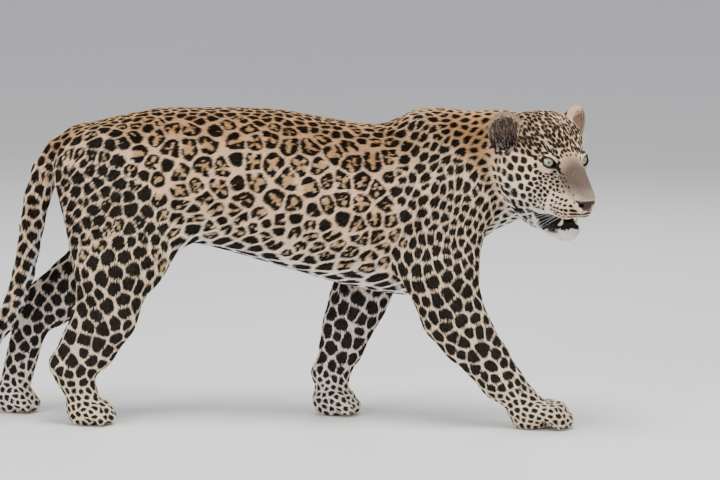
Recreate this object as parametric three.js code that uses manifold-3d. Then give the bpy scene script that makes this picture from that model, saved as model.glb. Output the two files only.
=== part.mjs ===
// A male leopard at life size, caught in mid-stride with its head turned to its right.
// Millimetres, +X ahead, +Y to the animal's left, +Z up. The soles stand on z = 0.
// The body is one smooth field of muscles and bones. It is meshed a region at a time and parted by thin cuts.
import * as THREE from 'three';
import { ParametricGeometry } from 'three/addons/geometries/ParametricGeometry.js';
import { mergeVertices } from 'three/addons/utils/BufferGeometryUtils.js';
import Module from 'manifold-3d';

const wasm = await Module();
wasm.setup();

// Driving dimensions.
const BACK_HEIGHT = 692; // highest line of the loins above the ground
const CHEST_DEPTH = 370; // from the withers down to the breastbone
const RIB_HALF_WIDTH = 122;
const TRACK = 82; // from the midline to the middle of a paw
const EYE_RADIUS = 16;
const EYE_SPACING = 82; // between the middles of the two eyes
const CUT_GAP = 0.3; // clearance between neighbouring parts

// Pose of the head.
const HEAD_YAW = 56; // degrees turned from straight ahead to the right
const HEAD_PITCH = 15; // degrees the muzzle points down
const HEAD_ROLL = 1; // degrees tipped to the left
const HEAD_AT = new THREE.Vector3(452, -178, 600); // between the eyes, on the bridge of the nose
const JAW_OPEN = 11; // degrees

const vec = (x, y, z) => new THREE.Vector3(x, y, z);
const radians = THREE.MathUtils.degToRad;

// FIELD PIECES. Each gives a distance to its surface, negative inside, and how softly it joins what came before.

// A bone or muscle: a rod from one end to the other with a radius at each. flat scales it across the body.
function bone(from, to, r0, r1, { flat = 1, soft = 30 } = {}) {
  const along = to.clone().sub(from);
  along.y /= flat;
  const lengthSq = Math.max(along.lengthSq(), 1e-6);
  const distance = (x, y, z) => {
    const dx = x - from.x;
    const dy = (y - from.y) / flat;
    const dz = z - from.z;
    const t = THREE.MathUtils.clamp((dx * along.x + dy * along.y + dz * along.z) / lengthSq, 0, 1);
    return Math.hypot(dx - t * along.x, dy - t * along.y, dz - t * along.z) - r0 - t * (r1 - r0);
  };
  return { distance, soft };
}

// A ball stretched to three radii.
function ball(centre, rx, ry, rz, soft = 30) {
  const distance = (x, y, z) => {
    const dx = x - centre.x;
    const dy = y - centre.y;
    const dz = z - centre.z;
    const near = Math.hypot(dx / rx, dy / ry, dz / rz);
    const far = Math.hypot(dx / rx ** 2, dy / ry ** 2, dz / rz ** 2);
    return near < 1e-6 ? -Math.min(rx, ry, rz) : (near * (near - 1)) / far;
  };
  return { distance, soft };
}

// Joins the pieces in order, each softened into the ones before it.
function joined(pieces) {
  return (x, y, z) => {
    let total = 1e6;
    for (const { distance, soft } of pieces) {
      const d = distance(x, y, z);
      const overlap = Math.max(soft - Math.abs(total - d), 0);
      total = Math.min(total, d) - overlap ** 2 / (4 * soft);
    }
    return total;
  };
}

// TRUNK: rib cage, loins and pelvis as cross-sections from the rump to the breast.
const BELLY = BACK_HEIGHT - 35 - CHEST_DEPTH; // lowest point of the chest
const TRUNK = [
  // [x, top, bottom, half width]
  [-664, 600, 520, 26],
  [-640, 636, 478, 58],
  [-590, BACK_HEIGHT - 34, 440, 82],
  [-520, BACK_HEIGHT - 17, 412, 94],
  [-440, BACK_HEIGHT - 2, 402, 98],
  [-350, BACK_HEIGHT, 392, 104],
  [-260, BACK_HEIGHT, 370, 114],
  [-170, BACK_HEIGHT - 5, 344, RIB_HALF_WIDTH],
  [-80, BACK_HEIGHT - 20, 318, RIB_HALF_WIDTH + 2],
  [0, BACK_HEIGHT - 33, 298, RIB_HALF_WIDTH - 2],
  [80, BACK_HEIGHT - 35, BELLY, 110],
  [160, BACK_HEIGHT - 30, 302, 100],
  [220, BACK_HEIGHT - 40, 350, 84],
  [262, 600, 420, 50],
  [280, 540, 480, 20],
];
const TRUNK_ROUNDNESS = 2.3; // 2 is an ellipse, more is squarer
const trunkCurves = [1, 2, 3].map(
  (column) => new THREE.SplineCurve(TRUNK.map((row) => new THREE.Vector2(row[0], row[column]))),
);

// Reads a cross-section value at x between the listed ones, on a smooth curve.
const trunkTable = (() => {
  const first = TRUNK[0][0];
  const last = TRUNK[TRUNK.length - 1][0];
  const steps = 320;
  return trunkCurves.map((curve) => {
    const points = curve.getPoints(TRUNK.length * 40);
    const values = [];
    let at = 0;
    for (let i = 0; i <= steps; i++) {
      const x = first + ((last - first) * i) / steps;
      while (at < points.length - 2 && points[at + 1].x < x) at++;
      const share = (x - points[at].x) / Math.max(points[at + 1].x - points[at].x, 1e-6);
      values.push(points[at].y + THREE.MathUtils.clamp(share, 0, 1) * (points[at + 1].y - points[at].y));
    }
    return (x) => {
      const place = THREE.MathUtils.clamp(((x - first) / (last - first)) * steps, 0, steps - 1e-6);
      const low = Math.floor(place);
      return values[low] + (place - low) * (values[low + 1] - values[low]);
    };
  });
})();

const trunk = {
  soft: 1,
  distance: (x, y, z) => {
    const [top, bottom, halfWidth] = trunkTable.map((read) => read(x));
    const middle = bottom + 0.52 * (top - bottom);
    const reach = z > middle ? top - middle : middle - bottom;
    const side = Math.abs(y) / halfWidth;
    const height = Math.abs(z - middle) / reach;
    const round = (side ** TRUNK_ROUNDNESS + height ** TRUNK_ROUNDNESS) ** (1 / TRUNK_ROUNDNESS);
    const beyond = Math.max(TRUNK[0][0] - x, x - TRUNK[TRUNK.length - 1][0], 0);
    return (round - 1) * Math.min(halfWidth, reach) + beyond;
  },
};

// NECK: thick and deep, bending from the withers to the back of the turned head.
const neck = [
  bone(vec(170, 0, 575), vec(300, -18, 590), 108, 92, { flat: 0.8, soft: 60 }),
  bone(vec(215, 0, 480), vec(330, -38, 520), 82, 68, { flat: 0.85, soft: 50 }),
  bone(vec(300, -18, 600), vec(392, -62, 606), 84, 80, { flat: 0.95, soft: 40 }),
];

// LEGS.
const FRONT_RIGHT = {
  side: -1,
  bladeTop: vec(128, -46, 640),
  shoulder: vec(226, -82, 500),
  elbow: vec(150, -95, 362),
  forearm: [
    [vec(184, -97, 330), 80],
    [vec(208, -96, 252), 66],
    [vec(241, -92, 200), 57],
    [vec(282, -88, 150), 47],
    [vec(316, -84, 104), 40],
  ],
  knuckle: vec(376, -TRACK, 44),
  toeTip: 474,
};
const FRONT_LEFT = {
  side: 1,
  bladeTop: vec(128, 46, 644),
  shoulder: vec(178, 84, 500),
  elbow: vec(40, 94, 372),
  forearm: [
    [vec(12, 97, 310), 70],
    [vec(-10, 96, 250), 60],
    [vec(-31, 92, 200), 52],
    [vec(-46, 88, 150), 45],
    [vec(-66, 85, 96), 35],
  ],
  knuckle: vec(-66, TRACK, 44),
  toeTip: -2,
};
const HIND_RIGHT = {
  side: -1,
  hip: vec(-556, -62, 552),
  knee: vec(-500, -96, 372),
  shank: [
    [vec(-534, -98, 330), 82],
    [vec(-555, -96, 244), 66],
    [vec(-588, -91, 178), 55],
    [vec(-626, -86, 120), 41],
  ],
  heel: vec(-656, -85, 136),
  knuckle: vec(-600, -TRACK, 42),
  toeTip: -532,
};
const HIND_LEFT = {
  side: 1,
  hip: vec(-566, 62, 552),
  knee: vec(-524, 96, 372),
  shank: [
    [vec(-560, 98, 335), 74],
    [vec(-636, 96, 288), 60],
    [vec(-692, 91, 248), 52],
    [vec(-738, 86, 204), 38],
  ],
  heel: vec(-760, 86, 230),
  knuckle: vec(-778, TRACK, 48),
  toeTip: -718,
};

const TOE_SPREAD = [-35, -12.5, 12.5, 35];
const OUTER_TOE_BACK = 15; // how far the outer toes end behind the middle two

function paw({ knuckle, toeTip }, size) {
  const pieces = [
    ball(vec(knuckle.x - 4, knuckle.y, 30), 36 * size, 38 * size, 30 * size, 24),
    ball(vec(knuckle.x + 4, knuckle.y, 12), 34 * size, 34 * size, 18, 10),
  ];
  TOE_SPREAD.forEach((offset, i) => {
    const across = knuckle.y + offset * size;
    const tip = toeTip - (i === 0 || i === 3 ? OUTER_TOE_BACK : 0);
    const root = vec(knuckle.x + 2, knuckle.y + offset * size * 0.8, 38 * size);
    const joint = vec(tip - 34 * size, across, 35 * size);
    pieces.push(bone(root, joint, 21 * size, 18.5 * size, { soft: 9 }));
    pieces.push(bone(joint, vec(tip - 16 * size, across, 18), 18.5 * size, 15 * size, { soft: 5 }));
  });
  return pieces;
}

// Rods from each listed joint to the next, with the radius at each.
function chain(joints, flat, soft) {
  return joints.slice(1).map(([to, r1], i) => bone(joints[i][0], to, joints[i][1], r1, { flat, soft }));
}

function frontLeg(leg) {
  const { side, bladeTop, shoulder, elbow, forearm, knuckle } = leg;
  const [wrist, wristRadius] = forearm[forearm.length - 1];
  const blade = bladeTop.clone().lerp(shoulder, 0.4);
  const backOfArm = blade.clone().add(vec(-30, side * 20, -60));
  return [
    bone(bladeTop, shoulder, 34, 58, { flat: 0.8, soft: 34 }),
    bone(blade, shoulder, 56, 60, { flat: 0.62, soft: 30 }),
    bone(backOfArm, elbow.clone().add(vec(-14, 0, 10)), 72, 54, { flat: 0.6, soft: 30 }),
    bone(shoulder, forearm[0][0].clone().add(vec(16, 0, 30)), 62, 62, { flat: 0.7, soft: 30 }),
    ball(elbow.clone().add(vec(-34, 0, -4)), 24, 20, 28, 24),
    ...chain(forearm, 0.72, 20),
    ball(wrist.clone().add(vec(-20, 0, -4)), 26, 22, 24, 18),
    bone(wrist, knuckle, wristRadius, 34, { flat: 0.95, soft: 20 }),
    ...paw(leg, 1.06),
  ];
}

function hindLeg(leg) {
  const { side, hip, knee, shank, heel, knuckle } = leg;
  const [ankle, ankleRadius] = shank[shank.length - 1];
  const seat = vec(-622, side * 52, 552);
  const shankTop = shank[0][0];
  return [
    bone(hip, knee, 92, 74, { flat: 0.56, soft: 40 }),
    bone(hip.clone().add(vec(58, 0, -16)), knee.clone().add(vec(16, 0, 6)), 76, 54, { flat: 0.58, soft: 34 }),
    bone(seat, shankTop.clone().add(vec(-42, 0, 24)), 46, 46, { flat: 0.8, soft: 34 }),
    ...chain(shank, 0.66, 24),
    bone(shank[1][0].clone().add(vec(-30, 0, -14)), heel, 32, 19, { flat: 0.8, soft: 24 }),
    bone(heel, ankle, 20, ankleRadius * 0.8, { flat: 0.85, soft: 16 }),
    bone(ankle, knuckle, ankleRadius, 33, { flat: 0.86, soft: 18 }),
    ...paw(leg, 0.98),
  ];
}

// The fold of skin from the belly to the knee, and the breast between the forelegs.
const folds = [
  bone(vec(-408, -58, 424), vec(-470, -88, 352), 34, 34, { flat: 0.6, soft: 40 }),
  bone(vec(-408, 58, 424), vec(-480, 88, 352), 34, 34, { flat: 0.6, soft: 40 }),
  bone(vec(215, 0, 470), vec(120, 0, 352), 66, 52, { flat: 0.9, soft: 40 }),
];

// TAIL: hangs behind the hind legs and turns up at the tip.
const TAIL_ROUTE = [
  [-622, 606], [-662, 590], [-694, 548], [-713, 490], [-725, 430], [-734, 375], [-745, 320],
  [-762, 265], [-788, 212], [-824, 166], [-872, 132], [-930, 116], [-988, 124], [-1036, 152], [-1066, 196],
].map(([x, z]) => vec(x, 4, z));
const TAIL_ROOT_RADIUS = 34;
const TAIL_TIP_RADIUS = 17;
const tailRadius = (share) => {
  const taper = THREE.MathUtils.lerp(TAIL_ROOT_RADIUS, 24, Math.min(share / 0.35, 1));
  return THREE.MathUtils.lerp(taper, TAIL_TIP_RADIUS, Math.max(share - 0.35, 0) / 0.65);
};
const tail = TAIL_ROUTE.slice(1).map((to, i) => {
  const last = TAIL_ROUTE.length - 1;
  return bone(TAIL_ROUTE[i], to, tailRadius(i / last), tailRadius((i + 1) / last), { soft: i ? 8 : 36 });
});

// HEAD: built facing ahead about the midpoint of the eyes, as forward, right and up, and mirrored about its middle.
const headTurn = new THREE.Matrix4()
  .makeTranslation(HEAD_AT.x, HEAD_AT.y, HEAD_AT.z)
  .multiply(new THREE.Matrix4().makeRotationZ(-radians(HEAD_YAW)))
  .multiply(new THREE.Matrix4().makeRotationY(radians(HEAD_PITCH)))
  .multiply(new THREE.Matrix4().makeRotationX(-radians(HEAD_ROLL)));
const headBack = headTurn.clone().invert();
// A point of the head from its own forward, right and up.
const onHead = (forward, right, up) => vec(forward, -right, up).applyMatrix4(headTurn);

const eyeSide = EYE_SPACING / 2;
const EYE_FORWARD = -6;
const skull = joined([
  ball(vec(-86, 0, 10), 74, 61, 54),
  ball(vec(-90, 0, 24), 52, 44, 42, 24),
  bone(vec(-118, 30, 4), vec(-138, 24, -30), 58, 60, { soft: 30 }),
  bone(vec(-44, 0, 26), vec(6, 0, 11), 32, 19, { flat: 1.1, soft: 26 }),
  bone(vec(-66, 30, 20), vec(-14, 33, 18), 26, 12, { soft: 16 }),
  bone(vec(6, 0, 2), vec(94, 0, -51), 21, 17, { flat: 1.3, soft: 14 }),
  bone(vec(26, 0, -52), vec(70, 0, -74), 34, 27, { soft: 18 }),
  ball(vec(96, 0, -64), 16, 22, 15, 10),
  ball(vec(70, 20, -88), 28, 21, 27, 9),
  bone(vec(52, 25, -100), vec(-24, 43, -120), 21, 26, { soft: 16 }),
  bone(vec(30, 27, -56), vec(-30, 46, -40), 18, 25, { soft: 20 }),
  bone(vec(34, 25, -84), vec(-30, 44, -84), 20, 29, { soft: 18 }),
  bone(vec(-24, 50, -20), vec(-84, 60, -18), 17, 32, { soft: 24 }),
  ball(vec(-58, 50, -66), 46, 36, 48, 26),
  ball(vec(-98, 56, -56), 44, 36, 50, 30),
  ball(vec(EYE_FORWARD, eyeSide, 0), EYE_RADIUS + 4, EYE_RADIUS + 5, EYE_RADIUS + 3, 12),
]);
const JAW_PIVOT = vec(-70, 0, -52);
const jawBone = joined([
  bone(vec(-60, 42, -106), vec(26, 18, -129), 30, 18, { soft: 18 }),
  ball(vec(50, 0, -138), 24, 26, 17, 16),
  bone(vec(26, 0, -133), vec(-50, 0, -122), 18, 38, { soft: 20 }),
]);
const throat = joined([bone(vec(-46, 18, -122), vec(-112, 12, -76), 40, 60, { soft: 24 })]);
// The open mouth behind the lips.
const mouth = ball(vec(20, 0, -132), 48, 27, 13).distance;
const jawCos = Math.cos(radians(JAW_OPEN));
const jawSin = Math.sin(radians(JAW_OPEN));

// The head's field at a world point: the skull, the swung jaw and the throat, mirrored about the midplane.
const headPoint = vec(0, 0, 0);
const head = {
  soft: 30,
  distance: (x, y, z) => {
    const { x: forward, y: left, z: up } = headPoint.set(x, y, z).applyMatrix4(headBack);
    const side = Math.abs(left);
    const df = forward - JAW_PIVOT.x;
    const du = up - JAW_PIVOT.z;
    const jaw = jawBone(JAW_PIVOT.x + df * jawCos - du * jawSin, side, JAW_PIVOT.z + df * jawSin + du * jawCos);
    const throatD = throat(forward, side, up);
    const lower = Math.min(jaw, throatD) - Math.max(24 - Math.abs(jaw - throatD), 0) ** 2 / 96;
    const upper = skull(forward, side, up);
    // The lips stay apart in front and close softly behind the corner of the mouth.
    const soft = THREE.MathUtils.clamp(-14 - forward, 2, 34);
    const closed = Math.min(upper, lower) - Math.max(soft - Math.abs(upper - lower), 0) ** 2 / (4 * soft);
    return Math.max(closed, -mouth(forward, side, up));
  },
};

const bodyField = joined([
  trunk,
  ...neck,
  ...frontLeg(FRONT_RIGHT),
  ...frontLeg(FRONT_LEFT),
  ...hindLeg(HIND_RIGHT),
  ...hindLeg(HIND_LEFT),
  ...folds,
  ...tail,
  head,
]);

// MESHING.

// A closed mesh of where the field is zero inside a box, by surface nets: a vertex in every cell that the surface
// crosses, moved onto it, and two triangles for every grid edge that it crosses.
function net(field, low, high, step) {
  const count = ['x', 'y', 'z'].map((k) => Math.ceil((high[k] - low[k]) / step[k]) + 1);
  const [nx, ny, nz] = count;
  const index = (i, j, k) => (k * ny + j) * nx + i;
  const place = (i, j, k) => vec(low.x + i * step.x, low.y + j * step.y, low.z + k * step.z);
  const values = new Float32Array(nx * ny * nz);
  for (let k = 0; k < nz; k++) {
    for (let j = 0; j < ny; j++) {
      for (let i = 0; i < nx; i++) {
        const edge = i === 0 || j === 0 || k === 0 || i === nx - 1 || j === ny - 1 || k === nz - 1;
        const p = place(i, j, k);
        values[index(i, j, k)] = edge ? 1 : field(p.x, p.y, p.z);
      }
    }
  }
  const corners = [0, 1, 2, 3, 4, 5, 6, 7].map((c) => [c & 1, (c >> 1) & 1, (c >> 2) & 1]);
  const offsets = corners.map(([i, j, k]) => index(i, j, k));
  openPinches(values, offsets, count);
  const edges = [];
  corners.forEach((a, m) => corners.forEach((b, n) => {
    if (m < n && Math.abs(a[0] - b[0]) + Math.abs(a[1] - b[1]) + Math.abs(a[2] - b[2]) === 1) edges.push([m, n]);
  }));
  const vertexOf = new Int32Array(values.length).fill(-1);
  const positions = [];
  const inner = (p) => p.x > low.x + step.x && p.x < high.x - step.x && p.y > low.y + step.y
    && p.y < high.y - step.y && p.z > low.z + step.z && p.z < high.z - step.z;
  for (let k = 0; k < nz - 1; k++) {
    for (let j = 0; j < ny - 1; j++) {
      for (let i = 0; i < nx - 1; i++) {
        const v = corners.map(([a, b, c]) => values[index(i + a, j + b, k + c)]);
        const crossing = edges.filter(([m, n]) => v[m] < 0 !== v[n] < 0);
        if (!crossing.length) continue;
        const sum = vec(0, 0, 0);
        crossing.forEach(([m, n]) => {
          const t = v[m] / (v[m] - v[n]);
          const [a, b] = [corners[m], corners[n]];
          sum.add(vec(a[0] + t * (b[0] - a[0]), a[1] + t * (b[1] - a[1]), a[2] + t * (b[2] - a[2])));
        });
        sum.divideScalar(crossing.length);
        const p = place(i, j, k).add(vec(sum.x * step.x, sum.y * step.y, sum.z * step.z));
        if (inner(p)) ontoSurface(field, p, Math.min(step.x, step.y, step.z) * 0.5);
        vertexOf[index(i, j, k)] = positions.length / 3;
        positions.push(p.x, p.y, p.z);
      }
    }
  }
  const triangles = [];
  const stride = [1, nx, nx * ny];
  for (let k = 0; k < nz - 1; k++) {
    for (let j = 0; j < ny - 1; j++) {
      for (let i = 0; i < nx - 1; i++) {
        const here = index(i, j, k);
        const at = [i, j, k];
        for (let axis = 0; axis < 3; axis++) {
          if (at[(axis + 1) % 3] === 0 || at[(axis + 2) % 3] === 0) continue;
          const inside = values[here] < 0;
          if (inside === values[here + stride[axis]] < 0) continue;
          const [u, w] = [stride[(axis + 1) % 3], stride[(axis + 2) % 3]];
          const ring = [vertexOf[here], vertexOf[here - u], vertexOf[here - u - w], vertexOf[here - w]];
          if (!inside) ring.reverse();
          triangles.push(ring[0], ring[1], ring[2], ring[0], ring[2], ring[3]);
        }
      }
    }
  }
  return new THREE.BufferGeometry()
    .setAttribute('position', new THREE.BufferAttribute(new Float32Array(positions), 3))
    .setIndex(triangles);
}

// Opens every place where two inside grid points meet only across a diagonal, which would pinch the mesh there.
function openPinches(values, offsets, [nx, ny, nz]) {
  const diagonals = [];
  for (let a = 0; a < 8; a++) {
    for (let b = a + 1; b < 8; b++) {
      const apart = a ^ b;
      if (apart === 1 || apart === 2 || apart === 4) continue;
      const others = [0, 1, 2, 3, 4, 5, 6, 7].filter((c) => c !== a && c !== b && ((c ^ a) & ~apart) === 0);
      diagonals.push([a, b, others]);
    }
  }
  for (let pass = 0, opened = 1; pass < 12 && opened; pass++) {
    opened = 0;
    for (let at = 0; at < values.length - nx * ny - nx - 1; at++) {
      if (at % nx === nx - 1 || Math.floor(at / nx) % ny === ny - 1 || Math.floor(at / (nx * ny)) === nz - 1) continue;
      for (const [a, b, others] of diagonals) {
        const [va, vb] = [values[at + offsets[a]], values[at + offsets[b]]];
        if (va >= 0 || vb >= 0 || others.some((c) => values[at + offsets[c]] < 0)) continue;
        values[at + offsets[va > vb ? a : b]] = 0.01;
        opened++;
      }
      // Two outside points that meet only across a whole cell, the same way round.
      for (let a = 0; a < 4; a++) {
        const b = 7 - a;
        if (values[at + offsets[a]] < 0 || values[at + offsets[b]] < 0) continue;
        const ring = [0, 1, 2, 3, 4, 5, 6, 7].filter((c) => c !== a && c !== b);
        if (ring.some((c) => values[at + offsets[c]] >= 0)) continue;
        values[at + offsets[ring[0]]] = 0.01;
        opened++;
      }
    }
  }
}

// Slides a point down the field's slope onto its zero surface, by at most the given reach.
function ontoSurface(field, p, reach) {
  const start = p.clone();
  for (let pass = 0; pass < 3; pass++) {
    const d = field(p.x, p.y, p.z);
    const slope = vec(field(p.x + 1, p.y, p.z) - d, field(p.x, p.y + 1, p.z) - d, field(p.x, p.y, p.z + 1) - d);
    p.addScaledVector(slope, -d / Math.max(slope.lengthSq(), 0.05));
  }
  p.sub(start).clampLength(0, reach).add(start);
}

// SOLIDS. Booleans join and cut what three.js shapes give.

function solid(geometry) {
  const bare = geometry.clone();
  Object.keys(bare.attributes).forEach((name) => name !== 'position' && bare.deleteAttribute(name));
  const merged = mergeVertices(bare, 1e-3);
  const kept = [];
  const at = merged.index.array;
  for (let i = 0; i < at.length; i += 3) {
    if (at[i] !== at[i + 1] && at[i + 1] !== at[i + 2] && at[i] !== at[i + 2]) kept.push(at[i], at[i + 1], at[i + 2]);
  }
  return new wasm.Manifold(
    new wasm.Mesh({
      numProp: 3,
      vertProperties: new Float32Array(merged.attributes.position.array),
      triVerts: new Uint32Array(kept),
    }),
  );
}

// A box from its middle and sizes, turned by degrees about Y and then Z, and grown on every side.
function block(centre, size, { tilt = 0, turn = 0 } = {}, grow = 0) {
  const box = new THREE.BoxGeometry(size.x + 2 * grow, size.y + 2 * grow, size.z + 2 * grow);
  box.rotateY(radians(tilt)).rotateZ(radians(turn)).translate(centre.x, centre.y, centre.z);
  return solid(box);
}

// The largest closed body of a solid, so that no loose scrap is left by a cut.
const largest = (made) => made.decompose().sort((a, b) => b.volume() - a.volume())[0];

function geometryOf(made) {
  const mesh = made.getMesh();
  const positions = new Float32Array(mesh.numVert * 3);
  for (let i = 0; i < mesh.numVert; i++) {
    positions.set(mesh.vertProperties.subarray(i * mesh.numProp, i * mesh.numProp + 3), i * 3);
  }
  const geometry = new THREE.BufferGeometry()
    .setAttribute('position', new THREE.BufferAttribute(positions, 3))
    .setIndex(new THREE.BufferAttribute(new Uint32Array(mesh.triVerts), 1));
  geometry.computeVertexNormals();
  return geometry;
}

const leopard = new THREE.Group();
leopard.name = 'leopard';
const COAT = new THREE.MeshStandardMaterial({ color: 0xcfa873, roughness: 0.85, metalness: 0 });
const EYE = new THREE.MeshStandardMaterial({ color: 0xa9b09a, roughness: 0.08, metalness: 0 });
const TOOTH = new THREE.MeshStandardMaterial({ color: 0xe4d3a8, roughness: 0.35, metalness: 0 });
const TONGUE = new THREE.MeshStandardMaterial({ color: 0xb5767a, roughness: 0.5, metalness: 0 });

function addPart(name, made, material = COAT) {
  const mesh = new THREE.Mesh(geometryOf(largest(made)), material);
  mesh.name = name;
  leopard.add(mesh);
}

// HEAD SOLIDS. Shapes given in the head's own forward, right and up, turned into place.

const ballShape = (radii, segments = 14) =>
  new THREE.SphereGeometry(1, segments, Math.round(segments * 0.6)).scale(radii.x, radii.y, radii.z);

// Places a shape on the head: its middle, and the way its own X and Z axes point.
function placed(geometry, at, xWay = vec(1, 0, 0), zWay = vec(0, 0, 1)) {
  const x = xWay.clone().normalize();
  const y = zWay.clone().cross(x).normalize();
  const z = x.clone().cross(y);
  const inHead = new THREE.Matrix4().makeBasis(x, y, z).setPosition(at);
  return solid(geometry.applyMatrix4(inHead).applyMatrix4(headTurn));
}

// A block on the head, pitched by degrees with its front down, and grown on every side.
function headBlock(centre, size, pitch = 0, grow = 0) {
  const box = new THREE.BoxGeometry(size.x + 2 * grow, size.y + 2 * grow, size.z + 2 * grow);
  const z = vec(Math.sin(radians(pitch)), 0, Math.cos(radians(pitch)));
  return placed(box, centre, vec(z.z, 0, -z.x), z);
}

// Left of the head is +Y in its own axes.
const SIDES = { left: 1, right: -1 };

// Eye: the ball, and the rim of the lids around an almond opening that looks ahead and a little outward.
const OPENING = vec(15, 9.8, 13); // half width, half height and half depth of the opening
const eyeAt = (side) => vec(EYE_FORWARD, side * eyeSide, 0);
const eyeWay = (side) => vec(0.9, side * 0.36, 0.1).normalize();
const eyeUp = (side) => vec(-0.1, side * 0.3, 1);

function lidRim(side) {
  const x = eyeWay(side);
  const y = eyeUp(side).cross(x).normalize();
  const z = x.clone().cross(y);
  const points = [];
  for (let i = 0; i < 18; i++) {
    const angle = (i / 18) * 2 * Math.PI;
    const across = OPENING.x * Math.cos(angle);
    const height = OPENING.y * Math.sin(angle);
    const out = Math.sqrt((EYE_RADIUS + 2.2) ** 2 - across ** 2 - height ** 2);
    points.push(eyeAt(side).addScaledVector(y, across).addScaledVector(z, height).addScaledVector(x, out));
  }
  const rim = new THREE.TubeGeometry(new THREE.CatmullRomCurve3(points, true), 22, 2.6, 6, true);
  return solid(rim.applyMatrix4(headTurn));
}

function eyeBall(side, grow) {
  const shape = ballShape(vec(1, 1, 1).multiplyScalar(EYE_RADIUS + grow), 16);
  return placed(shape, eyeAt(side), eyeWay(side), eyeUp(side));
}

// Ear: a tall cup, thick at the root and thin at the rim, open ahead and outward.
const EARS = {
  left: { middle: vec(-104, 78, 30), tip: vec(-110, 88, 82), way: vec(0.85, 0.5, 0.1) },
  right: { middle: vec(-114, -82, 18), tip: vec(-126, -97, 66), way: vec(0.72, -0.68, 0.1) },
};
const EAR_HALF = vec(23, 35, 54); // thickness, width and height from the middle

function ear({ middle, tip, way }) {
  const zWay = tip.clone().sub(middle).normalize();
  const xWay = way.clone().addScaledVector(zWay, -way.dot(zWay)).normalize();
  const outside = placed(ballShape(EAR_HALF, 18), middle, xWay, zWay);
  const hollowAt = middle.clone().addScaledVector(xWay, 14).addScaledVector(zWay, 5);
  const hollow = placed(ballShape(vec(23, 29, 45), 18), hollowAt, xWay, zWay);
  const cutAt = middle.clone().addScaledVector(zWay, 12 + 40);
  const cutter = (grow) => {
    const box = new THREE.BoxGeometry(60 + 2 * grow, 70 + 2 * grow, 80 + 2 * grow);
    return placed(box, cutAt, xWay, zWay);
  };
  return { outside, hollow, cutter };
}

const headField = (low, high, step) => solid(net(bodyField, low, high, step));
let headSolid = headField(vec(290, -310, 390), vec(590, 40, 740), vec(16, 15, 15));
const ears = { left: ear(EARS.left), right: ear(EARS.right) };
for (const name of ['left', 'right']) headSolid = headSolid.add(ears[name].outside).subtract(ears[name].hollow);
for (const side of Object.values(SIDES)) {
  const opening = ballShape(vec(OPENING.z, OPENING.x, OPENING.y), 18);
  const front = eyeAt(side).addScaledVector(eyeWay(side), EYE_RADIUS + 4);
  headSolid = headSolid.subtract(placed(opening, front, eyeWay(side), eyeUp(side))).add(lidRim(side));
  headSolid = headSolid.subtract(eyeBall(side, CUT_GAP));
  const nostril = ballShape(vec(11, 4, 5), 12);
  headSolid = headSolid.subtract(placed(nostril, vec(106, side * 12, -67), vec(1, side * 0.6, 0.1)));
}


// Teeth and tongue: the two lower canines and the tongue lying between them.
const openJaw = (f, s, u) => {
  const df = f - JAW_PIVOT.x;
  const du = u - JAW_PIVOT.z;
  return vec(JAW_PIVOT.x + df * jawCos + du * jawSin, s, JAW_PIVOT.z - df * jawSin + du * jawCos);
};
function canine(side, grow) {
  const root = openJaw(50, side * 14, -134);
  const tip = openJaw(57, side * 16, -104);
  const cone = new THREE.ConeGeometry(6.5 + grow, root.distanceTo(tip) + 2 * grow, 10).rotateX(Math.PI / 2);
  return placed(cone, root.clone().lerp(tip, 0.5), vec(1, 0, 0.4), tip.clone().sub(root));
}
const tongue = (grow) =>
  placed(ballShape(vec(36 + grow, 16 + grow, 6.5 + grow), 14), openJaw(22, 0, -119), openJaw(1, 0, 0).sub(openJaw(0, 0, 0)));

headSolid = headSolid.subtract(tongue(CUT_GAP));
for (const side of Object.values(SIDES)) headSolid = headSolid.subtract(canine(side, CUT_GAP));

// PARTS. Each is cut from its mesh by a block, and what is left over is cut back by the block grown by the gap.
const FLOOR = block(vec(0, 0, 500), vec(3000, 1200, 1000));
let rest = solid(net(bodyField, vec(-740, -170, 200), vec(480, 170, 740), vec(38, 25, 29)));

function part(name, source, cutter) {
  addPart(name, source.intersect(cutter(0)));
  rest = rest.subtract(cutter(CUT_GAP));
}

addPart('eye_left', eyeBall(1, 0), EYE);
addPart('eye_right', eyeBall(-1, 0), EYE);
addPart('lower_canine_left', canine(1, 0), TOOTH);
addPart('lower_canine_right', canine(-1, 0), TOOTH);
addPart('tongue', tongue(0), TONGUE);
for (const name of ['left', 'right']) {
  addPart(`ear_${name}`, headSolid.intersect(ears[name].cutter(0)));
  headSolid = headSolid.subtract(ears[name].cutter(CUT_GAP));
}
const noseCut = (grow) => headBlock(vec(114, 0, -70), vec(40, 46, 26), 20, grow);
addPart('nose', headSolid.intersect(noseCut(0)));
headSolid = headSolid.subtract(noseCut(CUT_GAP));
const jawCut = (grow) => headBlock(vec(6, 0, -189), vec(136, 130, 90), -16, grow);
addPart('lower_jaw', headSolid.intersect(jawCut(0)));
headSolid = headSolid.subtract(jawCut(CUT_GAP));
part('head', headSolid, (grow) => headBlock(vec(48, 0, -30), vec(400, 420, 520), 0, grow));

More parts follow.
